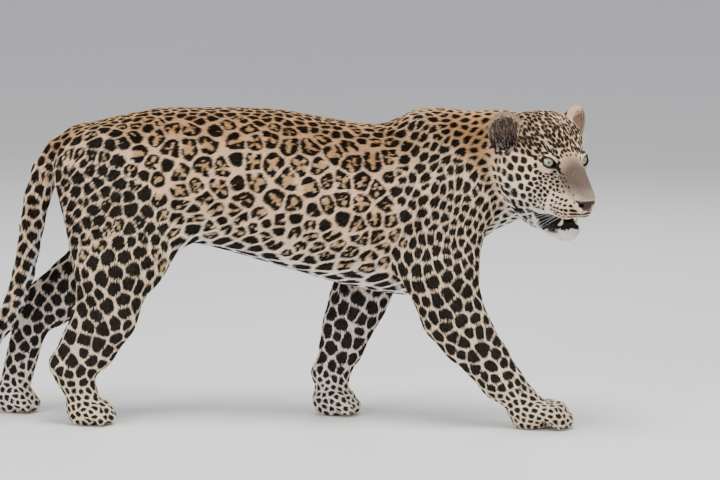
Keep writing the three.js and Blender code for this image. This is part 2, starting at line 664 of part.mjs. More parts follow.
// Legs: each part's mesh is made inside its own box, a little larger than the block that cuts it.
const FINE = vec(17, 14, 15);
const MIDDLE = vec(25, 22, 26);
const LEGS = [
  // [name, block middle, block size, block tilt, step]
  ['front_right_shoulder', vec(160, -112, 512), vec(206, 104, 166), 0, MIDDLE],
  ['front_right_upper_arm', vec(186, -112, 364), vec(226, 112, 130), 0, MIDDLE],
  ['front_right_forearm', vec(240, -100, 199), vec(360, 140, 200), 0, MIDDLE],
  ['front_right_paw', vec(400, -86, 48), vec(340, 120, 102), 0, FINE],
  ['front_left_shoulder', vec(122, 112, 512), vec(216, 104, 166), 0, MIDDLE],
  ['front_left_upper_arm', vec(52, 112, 364), vec(256, 112, 130), 0, MIDDLE],
  ['front_left_forearm', vec(-20, 100, 199), vec(260, 140, 200), 0, MIDDLE],
  ['front_left_paw', vec(-50, 86, 48), vec(240, 120, 102), 0, FINE],
  ['hind_right_thigh', vec(-530, -102, 462), vec(300, 124, 240), 0, MIDDLE],
  ['hind_right_shank', vec(-560, -104, 235), vec(300, 130, 214), 0, MIDDLE],
  ['hind_right_foot', vec(-610, -88, 62), vec(240, 124, 131), 0, FINE],
  ['hind_left_thigh', vec(-540, 102, 472), vec(310, 124, 240), 0, MIDDLE],
  ['hind_left_shank', vec(-612, 104, 260), vec(190, 130, 184), 0, MIDDLE],
  ['hind_left_foot', vec(-784, 92, 160), vec(154, 124, 340), 0, FINE],
];
for (const [name, middle, size, tilt, step] of LEGS) {
  const half = size.clone().multiplyScalar(0.5).add(step.clone().multiplyScalar(2.5));
  const cutter = (grow) => block(middle, size, { tilt }, grow);
  const mesh = solid(net(bodyField, middle.clone().sub(half), middle.clone().add(half), step));
  part(name, mesh.intersect(FLOOR), cutter);
}

// Tail and trunk.
const TAIL_STEP = vec(18, 16, 20);
const tailMesh = solid(net(bodyField, vec(-1120, -60, 60), vec(-600, 60, 680), TAIL_STEP));
const TAIL = [
  ['tail_tip', vec(-1000, -1, 140), vec(260, 80, 200)],
  ['tail_middle', vec(-780, -1, 235), vec(180, 80, 300)],
  ['tail_root', vec(-740, -1, 490), vec(126, 80, 210)],
];
for (const [name, middle, size] of TAIL) part(name, tailMesh, (grow) => block(middle, size, {}, grow));

const TRUNK_PARTS = [
  ['rump', vec(-550, 0, 450), vec(300, 400, 600)],
  ['abdomen', vec(-260, 0, 450), vec(280, 400, 600)],
  ['chest', vec(40, 0, 450), vec(320, 400, 600)],
];
for (const [name, middle, size] of TRUNK_PARTS) part(name, rest, (grow) => block(middle, size, {}, grow));
addPart('neck', rest);

// The origin goes to the middle of the bounding box, on the ground.
const bounds = new THREE.Box3().setFromObject(leopard);
const middle = bounds.getCenter(vec(0, 0, 0));
leopard.children.forEach((mesh) => mesh.geometry.translate(-middle.x, -middle.y, -bounds.min.z));

export default leopard;
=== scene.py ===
import bpy
import numpy as np
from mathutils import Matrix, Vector


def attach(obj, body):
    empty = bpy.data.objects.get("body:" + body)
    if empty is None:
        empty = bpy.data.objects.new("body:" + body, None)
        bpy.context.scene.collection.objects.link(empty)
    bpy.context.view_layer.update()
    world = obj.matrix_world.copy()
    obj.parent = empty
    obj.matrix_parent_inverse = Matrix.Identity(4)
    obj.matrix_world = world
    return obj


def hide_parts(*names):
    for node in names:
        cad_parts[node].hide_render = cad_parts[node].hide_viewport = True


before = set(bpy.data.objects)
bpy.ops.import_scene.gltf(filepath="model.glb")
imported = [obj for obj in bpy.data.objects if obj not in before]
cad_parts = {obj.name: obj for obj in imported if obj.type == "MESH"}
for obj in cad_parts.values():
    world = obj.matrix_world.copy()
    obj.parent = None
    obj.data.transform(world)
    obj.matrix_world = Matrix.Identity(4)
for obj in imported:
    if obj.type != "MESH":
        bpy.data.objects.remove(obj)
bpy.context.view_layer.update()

scene = bpy.context.scene


# CAMERA. The animal is seen from its right and a little in front, from about its own height, through a long
# lens. The figure is worked out in millimetres about its own middle, and MIDDLE_MM moves it into the frame.
MIDDLE_MM = np.array([279.11, 57.59, 0.0])
AIM_MM = np.array([0.0, 0.0, 401.6]) + MIDDLE_MM
CAMERA_AZIMUTH, CAMERA_HEIGHT = np.radians(3.0), np.radians(7.5)
CAMERA_DISTANCE, LENS_MM = 12.0, 272.7
camera_back = np.array([
    np.sin(CAMERA_AZIMUTH) * np.cos(CAMERA_HEIGHT),
    -np.cos(CAMERA_AZIMUTH) * np.cos(CAMERA_HEIGHT),
    np.sin(CAMERA_HEIGHT),
])
camera = bpy.data.objects.new("camera", bpy.data.cameras.new("camera"))
camera.data.sensor_width = 36.0
camera.data.lens = LENS_MM
camera.data.clip_end = 60.0
camera.location = AIM_MM / 1000 + camera_back * CAMERA_DISTANCE
camera.rotation_mode = "QUATERNION"
camera.rotation_quaternion = Vector(-camera_back).to_track_quat("-Z", "Y")
scene.collection.objects.link(camera)
scene.camera = camera


# FLOOR. A pale plain studio floor, flat and open on every side, under four soft round lamps and an even sky.
class Shade:
    """A material's node tree: node() adds any node and gives back its output as a Number for sums."""

    def __init__(self, name):
        self.material = bpy.data.materials.new(name)
        self.material.use_nodes = True
        self.tree = self.material.node_tree
        self.tree.nodes.clear()
        self.out = self.tree.nodes.new("ShaderNodeOutputMaterial")

    def node(self, kind, settings=None, output=0, **values):
        """A node with its settings, a ramp's stops among them, and its sockets' values or links. A name such
        as _0 is a socket's number."""
        made = self.tree.nodes.new("ShaderNode" + kind)
        for name, value in (settings or {}).items():
            if name == "stops":
                stops = made.color_ramp.elements
                for place, (at, colour) in enumerate(value):
                    stop = stops[place] if place < 2 else stops.new(at)
                    stop.position = at
                    stop.color = (*colour, 1)
            else:
                setattr(made, name, value)
        for name, value in values.items():
            key = int(name[1:]) if name[0] == "_" and name[1:].isdigit() else name.replace("_", " ")
            socket = made.inputs[key]
            if isinstance(value, Number):
                self.tree.links.new(value.socket, socket)
            elif isinstance(value, tuple) and socket.type == "RGBA":
                socket.default_value = (*value, 1)
            else:
                socket.default_value = value
        return Number(self, made.outputs[output])

    def surface(self, **values):
        """A principled surface with these sockets on the material's output."""
        made = self.node("BsdfPrincipled", **values)
        self.tree.links.new(made.socket, self.out.inputs["Surface"])
        return self.material

    def colours(self, factor, first, second, blend="MIX"):
        """A mix of two colours by a factor."""
        settings = dict(data_type="RGBA", blend_type=blend)
        return self.node("Mix", settings, 2, _0=factor, _6=first, _7=second)

    def scaled(self, colour, factor):
        """A colour times a number."""
        return self.node("VectorMath", dict(operation="SCALE"), _0=colour, Scale=factor)

    def place(self):
        """A point's own place on the model, in metres."""
        return self.node("TexCoord", output=3)

    def attribute(self, name):
        """The colour that the mesh keeps under this name."""
        return self.node("Attribute", dict(attribute_name=name))

    def channels(self, name):
        """The three numbers that the mesh keeps under this name."""
        parts = self.node("SeparateColor", Color=self.attribute(name)).socket.node
        return [Number(self, parts.outputs[k]) for k in range(3)]

    def bump(self, height, distance, strength):
        """A normal tipped by the slope of a height, whose full rise is the distance in metres."""
        return self.node("Bump", Height=height, Distance=distance, Strength=strength)


class Number:
    """A socket of a node tree. Sums on it add Math nodes."""

    def __init__(self, shade, socket):
        self.shade, self.socket = shade, socket

    def sum(self, operation, first, second):
        """One Math node on two numbers."""
        return self.shade.node("Math", dict(operation=operation), _0=first, _1=second)

    def __add__(self, other):
        return self.sum("ADD", self, other)

    def __radd__(self, other):
        return self.sum("ADD", other, self)

    def __sub__(self, other):
        return self.sum("SUBTRACT", self, other)

    def __rsub__(self, other):
        return self.sum("SUBTRACT", other, self)

    def __mul__(self, other):
        return self.sum("MULTIPLY", self, other)

    def __rmul__(self, other):
        return self.sum("MULTIPLY", other, self)

    def step(self, low, high):
        """0 below low, 1 above high, and smooth between; high may be the lower one."""
        return self.shade.node(
            "MapRange", dict(interpolation_type="SMOOTHSTEP"), Value=self,
            From_Min=low, From_Max=high, To_Min=0.0, To_Max=1.0,
        )


def new_piece(name, points, faces, material, smooth=True):
    """A mesh object at the origin from points in design millimetres and rows of vertex numbers."""
    mesh = bpy.data.meshes.new(name)
    sides = faces.shape[1]
    mesh.vertices.add(len(points))
    mesh.vertices.foreach_set("co", ((points + MIDDLE_MM) / 1000).astype(np.float32).ravel())
    mesh.loops.add(len(faces) * sides)
    mesh.loops.foreach_set("vertex_index", faces.astype(np.int32).ravel())
    mesh.polygons.add(len(faces))
    mesh.polygons.foreach_set("loop_start", np.arange(0, len(faces) * sides, sides, dtype=np.int32))
    mesh.polygons.foreach_set("use_smooth", np.full(len(faces), smooth))
    mesh.update(calc_edges=True)
    mesh.materials.append(material)
    made = bpy.data.objects.new(name, mesh)
    scene.collection.objects.link(made)
    return made


floor_shade = Shade("studio_floor")
floor_grain = floor_shade.node("TexNoise", Vector=floor_shade.place(), Scale=1.4, Detail=3.0)
floor_material = floor_shade.surface(
    Base_Color=floor_shade.colours(floor_grain, (0.80, 0.79, 0.77), (0.84, 0.83, 0.81)),
    Roughness=0.75,
)
# Half the floor's width, in millimetres.
FLOOR_REACH = 40000.0
floor_corners = np.array([(-1, -1, 0), (1, -1, 0), (1, 1, 0), (-1, 1, 0)]) * FLOOR_REACH
floor = new_piece("floor", floor_corners, np.arange(4)[None, :], floor_material)


def soft_light(name, place, aim, size, power):
    """A round lamp, its size in metres and its power in watts, turned from its place to what it lights."""
    light = bpy.data.objects.new(name, bpy.data.lights.new(name, "AREA"))
    light.data.shape = "DISK"
    light.data.size = size
    light.data.energy = power
    light.location = place
    light.rotation_mode = "QUATERNION"
    light.rotation_quaternion = (Vector(aim) - Vector(place)).to_track_quat("-Z", "Y")
    scene.collection.objects.link(light)


soft_light("overhead", (0.4, -0.8, 3.6), (0, 0, 0.4), 2.0, 150)
soft_light("front_left", (-2.6, -3.6, 2.4), (0, 0, 0.4), 1.8, 84)
soft_light("front_right", (3.2, -2.6, 1.9), (0.3, 0, 0.5), 2.0, 36)
soft_light("behind", (0.5, 3.4, 2.6), (0, 0, 0.5), 2.6, 50)
world = bpy.data.worlds.new("studio")
world.use_nodes = True
sky = world.node_tree.nodes["Background"]
sky.inputs["Color"].default_value = (0.92, 0.94, 1.0, 1)
sky.inputs["Strength"].default_value = 0.62
scene.world = world


# SKIN. The whole body's flesh is one smooth field of bones and muscles: the distance in millimetres to its
# surface, negative inside. The skin is one closed sheet over it, without a seam, finer on the head and feet,
# and it lies under the tips of the coat by the coat's own depth.
def unit(vectors):
    """Vectors over their own lengths."""
    vectors = np.asarray(vectors, float)
    return vectors / np.maximum(np.linalg.norm(vectors, axis=-1, keepdims=True), 1e-9)


# How far beyond a form and its softness its distance is still worked out.
REACH = 60.0


def rod(start, end, first, last, flat=1.0, soft=30.0):
    """Distance to a tapered rod: that to the nearest point of its axis, less the radius there. A flat one is
    narrower in y by that factor, and soft is how gently it joins what is there already."""
    start, end = np.array(start, float), np.array(end, float)
    squash = np.array([1.0, 1.0 / flat, 1.0])
    along = (end - start) * squash
    length = max(along @ along, 1e-6)

    def distance(points):
        away = (points - start) * squash
        share = np.clip(away @ along / length, 0, 1)
        away -= share[:, None] * along
        return np.sqrt(np.einsum("ij,ij->i", away, away)) - first - share * (last - first)

    reach = (max(first, last) + soft + REACH) / squash
    return distance, soft, np.minimum(start, end) - reach, np.maximum(start, end) + reach


def ball(centre, radii, soft=30.0):
    """Near distance to an ellipsoid: n(n-1) over the length of its slope, with n how many radii out."""
    centre, radii = np.array(centre, float), np.array(radii, float)

    def distance(points):
        away = (points - centre) / radii
        near = np.sqrt(np.einsum("ij,ij->i", away, away))
        away /= radii
        far = np.sqrt(np.einsum("ij,ij->i", away, away))
        return near * (near - 1) / np.maximum(far, 1e-9)

    reach = radii + soft + REACH
    return distance, soft, centre - reach, centre + reach


def closer(first, second, soft):
    """The smaller of two distances, lowered by the square of their overlap over four times the softness."""
    overlap = np.maximum(soft - np.abs(first - second), 0)
    return np.minimum(first, second) - overlap ** 2 / (4 * soft)


def blended(pieces, points):
    """Joins the pieces in order, leaving out those whose box is away from all the points."""
    total = np.full(len(points), 1e6)
    low, high = points.min(0), points.max(0)
    for distance, soft, start, end in pieces:
        if np.all(start < high) and np.all(end > low):
            total = closer(total, distance(points), soft)
    return total


# Cross-sections of the trunk from rump to chest: x, top, bottom and half width.
TRUNK_STATIONS = np.array([
    [-664, 600, 520, 26], [-640, 636, 478, 58], [-590, 658, 440, 82], [-520, 675, 412, 94],
    [-440, 690, 402, 98], [-350, 692, 392, 104], [-260, 692, 370, 114], [-170, 687, 344, 122],
    [-80, 672, 318, 124], [0, 659, 298, 120], [80, 657, 287, 110], [160, 662, 302, 100],
    [220, 652, 350, 84], [262, 600, 420, 50], [280, 540, 480, 20],
], float)
TRUNK_POWER = 2.3


def smooth_curve(rows, steps):
    """A uniform Catmull-Rom curve through the rows: each span is a cubic, and its slope at a row is half the
    chord between the rows on either side of it."""
    padded = np.concatenate([rows[:1], rows, rows[-1:]])
    place = np.linspace(0, len(rows) - 1 - 1e-9, steps)
    span = place.astype(int)
    t = (place - span)[:, None]
    before, start, end, after = (padded[span + k] for k in range(4))
    leave, arrive = (end - before) / 2, (after - start) / 2
    return ((2 * start - 2 * end + leave + arrive) * t ** 3
            + (-3 * start + 3 * end - 2 * leave - arrive) * t ** 2 + leave * t + start)


trunk_line = smooth_curve(TRUNK_STATIONS, 600)


def trunk_section(x):
    """The trunk's top, bottom and half width at each x."""
    return [np.interp(x, trunk_line[:, 0], trunk_line[:, k]) for k in (1, 2, 3)]


def trunk_distance(points):
    """A rounded-box cross-section at each x: the power mean of the shares of width and height, less one."""
    x, y, z = points.T
    top, bottom, half_width = trunk_section(x)
    middle = bottom + 0.52 * (top - bottom)
    reach = np.where(z > middle, top - middle, middle - bottom)
    around = (np.abs(y) / half_width) ** TRUNK_POWER + (np.abs(z - middle) / reach) ** TRUNK_POWER
    around = around ** (1 / TRUNK_POWER)
    beyond = np.maximum(np.maximum(TRUNK_STATIONS[0, 0] - x, x - TRUNK_STATIONS[-1, 0]), 0)
    return (around - 1) * np.minimum(half_width, reach) + beyond


trunk_pieces = [(trunk_distance, 1.0, np.array([-800, -260, 150]), np.array([420, 260, 830]))]
neck_pieces = [
    rod((170, 0, 575), (300, -18, 590), 108, 92, 0.8, 60),
    rod((215, 0, 480), (330, -38, 520), 82, 68, 0.85, 50),
    rod((300, -18, 600), (392, -62, 606), 84, 80, 0.95, 40),
]

# How far the paws stand from the body's midline, and the toes of a paw from its own.
TRACK = 82.0
TOE_OFFSETS = (-35.0, -12.5, 12.5, 35.0)


def paw_pieces(knuckle, toe_tip, size):
    """A round pad under the knuckle, and four toes of two rods each, the outer ones shorter."""
    x, y, _ = knuckle
    made = [
        ball((x - 4, y, 30), (36 * size, 38 * size, 30 * size), 24),
        ball((x + 4, y, 12), (34 * size, 34 * size, 18), 10),
    ]
    for offset in TOE_OFFSETS:
        tip = toe_tip - (15 if abs(offset) > 20 else 0)
        joint = (tip - 34 * size, y + offset * size, 35 * size)
        made.append(rod((x + 2, y + offset * size * 0.8, 38 * size), joint, 21 * size, 18.5 * size, 1, 9))
        made.append(rod(joint, (tip - 16 * size, y + offset * size, 18), 18.5 * size, 15 * size, 1, 5))
    return made


def rod_chain(joints, flat, soft):
    """Rods from each joint to the next; a joint is its place and its radius."""
    return [rod(a[:3], b[:3], a[3], b[3], flat, soft) for a, b in zip(joints, joints[1:])]


def front_leg(side, blade_top, shoulder, elbow, forearm, knuckle, toe_tip):
    """Shoulder blade, upper arm, point of the elbow, forearm, wrist and paw; the side is 1 on the left."""
    blade_top, shoulder, elbow = (np.array(point, float) for point in (blade_top, shoulder, elbow))
    top, wrist = (np.array(forearm[k][:3], float) for k in (0, -1))
    wrist_radius = forearm[-1][3]
    blade = blade_top + 0.4 * (shoulder - blade_top)
    return [
        rod(blade_top, shoulder, 34, 58, 0.8, 34),
        rod(blade, shoulder, 56, 60, 0.62, 30),
        rod(blade + (-30, side * 20, -60), elbow + (-14, 0, 10), 72, 54, 0.6, 30),
        rod(shoulder, top + (16, 0, 30), 62, 62, 0.7, 30),
        ball(elbow + (-34, 0, -4), (24, 20, 28), 24),
        *rod_chain(forearm, 0.72, 20),
        ball(wrist + (-20, 0, -4), (26, 22, 24), 18),
        rod(wrist, knuckle, wrist_radius, 34, 0.95, 20),
        *paw_pieces(knuckle, toe_tip, 1.06),
    ]


SEAT_BONE = np.array([-622.0, 52.0, 552.0])


def hind_leg(side, hip, knee, shank, heel, knuckle, toe_tip):
    """Thigh in three parts, shank, heel with its tendon, and foot; the side is 1 on the left."""
    hip, knee, heel = (np.array(point, float) for point in (hip, knee, heel))
    top, calf, ankle = (np.array(shank[k][:3], float) for k in (0, 1, -1))
    ankle_radius = shank[-1][3]
    return [
        rod(hip, knee, 92, 74, 0.56, 40),
        rod(hip + (58, 0, -16), knee + (16, 0, 6), 76, 54, 0.58, 34),
        rod(SEAT_BONE * [1, side, 1], top + (-42, 0, 24), 46, 46, 0.8, 34),
        *rod_chain(shank, 0.66, 24),
        rod(calf + (-30, 0, -14), heel, 32, 19, 0.8, 24),
        rod(heel, ankle, 20, ankle_radius * 0.8, 0.85, 16),
        rod(ankle, knuckle, ankle_radius, 33, 0.86, 18),
        *paw_pieces(knuckle, toe_tip, 0.98),
    ]


front_right_pieces = front_leg(
    -1, (128, -46, 640), (226, -82, 500), (150, -95, 362),
    [(184, -97, 330, 80), (208, -96, 252, 66), (241, -92, 200, 57), (282, -88, 150, 47), (316, -84, 104, 40)],
    (376, -TRACK, 44), 474,
)
front_left_pieces = front_leg(
    1, (128, 46, 644), (178, 84, 500), (40, 94, 372),
    [(12, 97, 310, 70), (-10, 96, 250, 60), (-31, 92, 200, 52), (-46, 88, 150, 45), (-66, 85, 96, 35)],
    (-66, TRACK, 44), -2,
)
hind_right_pieces = hind_leg(
    -1, (-556, -62, 552), (-500, -96, 372),
    [(-534, -98, 330, 82), (-555, -96, 244, 66), (-588, -91, 178, 55), (-626, -86, 120, 41)],
    (-656, -85, 136), (-600, -TRACK, 42), -532,
)
hind_left_pieces = hind_leg(
    1, (-566, 62, 552), (-524, 96, 372),
    [(-560, 98, 335, 74), (-636, 96, 288, 60), (-692, 91, 248, 52), (-738, 86, 204, 38)],
    (-760, 86, 230), (-778, TRACK, 48), -718,
)
# The folds of skin from flank to thigh, and the breast between the front legs.
fold_pieces = [
    rod((-408, -58, 424), (-470, -88, 352), 34, 34, 0.6, 40),
    rod((-408, 58, 424), (-480, 88, 352), 34, 34, 0.6, 40),
    rod((215, 0, 470), (120, 0, 352), 66, 52, 0.9, 40),
]

# The tail's own line as x and z, from its root down behind the hind legs to its upturned tip.
TAIL_SIDE = 4.0
tail_line = np.array([
    (-622, 606), (-662, 590), (-694, 548), (-713, 490), (-725, 430), (-734, 375), (-745, 320), (-762, 265),
    (-788, 212), (-824, 166), (-872, 132), (-930, 116), (-988, 124), (-1036, 152), (-1066, 196),
], float)
tail_line = np.stack([tail_line[:, 0], np.full(len(tail_line), TAIL_SIDE), tail_line[:, 1]], 1)
tail_share = np.linspace(0, 1, len(tail_line))
tail_radius = np.interp(tail_share, [0, 0.35, 1], [34, 24, 17])
tail_pieces = [
    rod(tail_line[k], tail_line[k + 1], tail_radius[k], tail_radius[k + 1], 1, 8 if k else 36)
    for k in range(len(tail_line) - 1)
]

# The head's own axes are ahead, left and up, about the point between the eyes.
HEAD_AT = np.array([452.0, -178.0, 600.0])


def turned(axis, degrees):
    """A right-handed turn about x, y or z."""
    c, s = np.cos(np.radians(degrees)), np.sin(np.radians(degrees))
    return {
        "x": np.array([[1, 0, 0], [0, c, -s], [0, s, c]]),
        "y": np.array([[c, 0, s], [0, 1, 0], [-s, 0, c]]),
        "z": np.array([[c, -s, 0], [s, c, 0], [0, 0, 1]]),
    }[axis]


# Turned to the animal's right, tipped down, and leaned a little.
HEAD_TURN = turned("z", -56) @ turned("y", 15) @ turned("x", -1)


def in_head(points):
    """Places in the head's own axes."""
    return (np.asarray(points, float) - HEAD_AT) @ HEAD_TURN


def from_head(points):
    """Places back from the head's own axes."""
    return np.asarray(points, float) @ HEAD_TURN.T + HEAD_AT


EYE_RADIUS, EYE_SIDE, EYE_FORWARD = 16.0, 41.0, -6.0
# The forms of the head's left half; the right half mirrors them.
skull_pieces = [
    ball((-86, 0, 10), (74, 61, 54)),
    ball((-90, 0, 24), (52, 44, 42), 24),
    rod((-118, 30, 4), (-138, 24, -30), 58, 60),
    rod((-44, 0, 26), (6, 0, 11), 32, 19, 1.1, 26),
    rod((-66, 30, 20), (-14, 33, 18), 26, 12, 1, 16),
    rod((6, 0, 3), (95, 0, -47), 21, 16, 1.6, 14),
    rod((26, 0, -52), (70, 0, -74), 34, 27, 1, 18),
    ball((96, 0, -62), (18, 26, 15), 9),
    ball((63, 20, -83), (27, 21, 24), 9),
    rod((46, 24, -86), (-30, 44, -106), 20, 22, 1, 16),
    rod((30, 27, -56), (-30, 46, -40), 18, 25, 1, 20),
    rod((34, 25, -84), (-30, 44, -84), 20, 29, 1, 18),
    rod((-24, 50, -20), (-84, 60, -18), 17, 32, 1, 24),
    ball((-58, 50, -66), (46, 36, 48), 26),
    ball((-98, 56, -56), (44, 36, 50), 30),
    rod((-48, 44, 20), (-86, 60, 32), 23, 26, 1, 18),
    ball((EYE_FORWARD, EYE_SIDE, 0), (20, 21, 19), 12),
]
jaw_pieces = [
    rod((-60, 42, -106), (26, 18, -129), 30, 18, 1, 18),
    ball((58, 0, -125), (26, 27, 23), 16),
    rod((26, 0, -133), (-50, 0, -122), 18, 38, 1, 20),
]
throat_pieces = [rod((-46, 18, -122), (-112, 12, -76), 40, 60, 1, 24)]
JAW_PIVOT = np.array([-70.0, 0.0, -52.0])
JAW_OPEN = 7
JAW_SWING = turned("y", -JAW_OPEN)
MOUTH_AT = np.array([20.0, 0.0, -110.5])
hollow_ball = ball((0, 0, 0), (62, 43, 8.0))[0]


def mirrored(own):
    """Places in the head's own axes, with those on its right folded over to its left."""
    return own * [1, 0, 1] + np.abs(own) * [0, 1, 0]


def mouth_hollow(own):
    """The open mouth behind the lips: a flat ball bent down to both ends with the square of the distance."""
    seen = own - MOUTH_AT
    seen[:, 2] += 0.003 * (own[:, 0] - 40) ** 2
    return hollow_ball(seen)


def head_distance(points):
    """The skull, the swung jaw and the throat about the middle of the head, softly closed behind the lips."""
    halves = mirrored(in_head(points))
    jaw = blended(jaw_pieces, (halves - JAW_PIVOT) @ JAW_SWING.T + JAW_PIVOT)
    lower = closer(jaw, blended(throat_pieces, halves), 24)
    closed = closer(blended(skull_pieces, halves), lower, np.clip(-14 - halves[:, 0], 2, 34))
    return np.maximum(closed, -mouth_hollow(halves))


head_pieces = [(head_distance, 30.0, HEAD_AT - 300, HEAD_AT + 300)]
GROUPS = {
    "trunk": trunk_pieces + fold_pieces, "neck": neck_pieces, "front_right": front_right_pieces,
    "front_left": front_left_pieces, "hind_right": hind_right_pieces, "hind_left": hind_left_pieces,
    "tail": tail_pieces, "head": head_pieces,
}
body_pieces = [
    *trunk_pieces, *neck_pieces, *front_right_pieces, *front_left_pieces, *hind_right_pieces,
    *hind_left_pieces, *fold_pieces, *tail_pieces, *head_pieces,
]


def own_axes(way, up):
    """Rows of three square axes: the way, across it, and the up that is square to both."""
    way = unit(way)
    across = unit(np.cross(up, way))
    return np.stack([way, across, np.cross(way, across)])


def cup_axes(middle, tip, way, narrow=1.0):
    """The way an ear opens, across it and up it; the across axis is as much longer as the ear is narrower."""
    rise = unit(np.array(tip, float) - middle)
    way = unit(np.array(way, float) - np.dot(way, rise) * rise)
    return np.stack([way, np.cross(rise, way) * narrow, rise])


# Each ear is a tall ball with a smaller one taken out of its front.
EARS = {
    "left": (np.array([-102.0, 78, 38]), cup_axes((-102, 78, 38), (-107, 87, 88), (0.95, 0.3, 0.1), 1.28)),
    "right": (np.array([-114.0, -85, 27]), cup_axes((-114, -85, 27), (-124, -99, 73), (0.74, -0.66, 0.1))),
}
ear_outside = ball((0, 0, 0), (23, 40, 47))[0]
ear_hollow = ball((14, 0, 3), (23, 35, 40))[0]
eyeball = ball((0, 0, 0), (EYE_RADIUS + 0.3,) * 3)[0]
lid_ball = ball((0, 0, 0), (EYE_RADIUS + 3.6,) * 3)[0]
EYES = {
    side: (
        np.array([EYE_FORWARD, side * EYE_SIDE, 0.0]),
        own_axes((0.9, side * 0.36, 0.1), (-0.1, side * 0.3, 1)),
    )
    for side in (1, -1)
}
LID_HALF_WIDTH, UPPER_LID, LOWER_LID, LID_SLANT = 15.2, 10.8, 10.2, 0.42


def in_eye(own, side):
    """Ahead, across and up about an eye, from head axes; across is counted towards the nose."""
    middle, axes = EYES[side]
    return (own - middle) @ axes.T * [1, -side, 1]


def lid_opening(seen):
    """How far outside the almond between the lids: its half height falls to the corners as the 0.75th power
    of one less the 2.6th power of the share of its half width."""
    across, up = seen[:, 1], seen[:, 2] + LID_SLANT * seen[:, 1]
    share = np.clip(np.abs(across) / LID_HALF_WIDTH, 0, 1)
    half = np.where(up > 0, UPPER_LID, LOWER_LID) * (1 - share ** 2.6) ** 0.75
    return np.maximum(np.abs(up) - half, (np.abs(across) - LID_HALF_WIDTH) * 0.8)


nostril = ball((0, 0, 0), (13, 6.2, 4.8))[0]
NOSTRILS = {
    side: (np.array([107.0, side * 14.0, -61.5]), own_axes((1, side * 0.8, 0.0), (0, side * 0.5, 1)))
    for side in (1, -1)
}


def flesh(points):
    """The whole body's distance, with the ears and lids added and the cups of the ears, the sockets, the
    nostrils and the soles' flats cut out of it."""
    total = blended(body_pieces, points)
    near = np.flatnonzero(np.all(np.abs(points - HEAD_AT) < 260, 1))
    if len(near):
        own = in_head(points[near])
        part = total[near]
        for middle, axes in EARS.values():
            seen = (own - middle) @ axes.T
            part = closer(part, ear_outside(seen), 12)
            part = -closer(-part, ear_hollow(seen), 3)
        for side in EYES:
            seen = in_eye(own, side)
            part = closer(part, lid_ball(seen), 5)
            opening = np.maximum(lid_opening(seen), -seen[:, 0])
            part = -closer(-part, opening, 1.2)
            part = np.maximum(part, -eyeball(seen))
        for middle, axes in NOSTRILS.values():
            part = -closer(-part, nostril((own - middle) @ axes.T), 2)
        total[near] = part
    return np.maximum(total, 0.4 - points[:, 2])


LOOKS = np.array([(1, -1, -1), (-1, -1, 1), (-1, 1, -1), (1, 1, 1)], float)


def height_and_slope(points, reach=0.35):
    """The field and its steepest way, from looks at four corners of a small box about each point."""
    seen = np.stack([flesh(points + look * reach) for look in LOOKS], 1)
    return seen.mean(1, keepdims=True), seen @ LOOKS / (4 * reach)


def in_slabs(points, function, size=60000):
    """The function's rows for all the points, worked out for so many at a time."""
    return np.concatenate([function(points[k:k + size]) for k in range(0, len(points), size)])


def onto_surface(points, passes=2, limit=2.5):
    """Slides each point down the slope onto the zero surface, by at most the limit in one pass."""
    order = np.argsort(points[:, 0])
    moved = points[order]

    def slide(places):
        height, steepest = height_and_slope(places)
        return -height / np.maximum((steepest ** 2).sum(1, keepdims=True), 0.05) * steepest

    for _ in range(passes):
        step = in_slabs(moved, slide, 20000)
        length = np.linalg.norm(step, axis=1, keepdims=True)
        moved = moved + step * np.minimum(1, limit / np.maximum(length, 1e-9))
    result = np.empty_like(points)
    result[order] = moved
    return result


def grid_values(low, high, step):
    """The field on a grid of blocks of 4 by 4 by 4 points: in full where a block's middle is near the
    surface, and elsewhere the middle's value for the whole block."""
    blocks = np.ceil((np.array(high) - low) / step / 4).astype(int)
    at = np.stack(np.meshgrid(*[np.arange(n) for n in blocks], indexing="ij"), -1).reshape(-1, 3)
    middles = in_slabs(low + (at * 4 + 1.5) * step, flesh)
    values = np.repeat(np.repeat(np.repeat(middles.reshape(blocks), 4, 0), 4, 1), 4, 2)
    near = at[np.abs(middles) < 6.5 * step + 8]
    within = np.stack(np.meshgrid(*[np.arange(4)] * 3, indexing="ij"), -1).reshape(-1, 3)
    places = (near[:, None, :] * 4 + within).reshape(-1, 3)
    values[tuple(places.T)] = in_slabs(low + places * step, flesh)
    return values


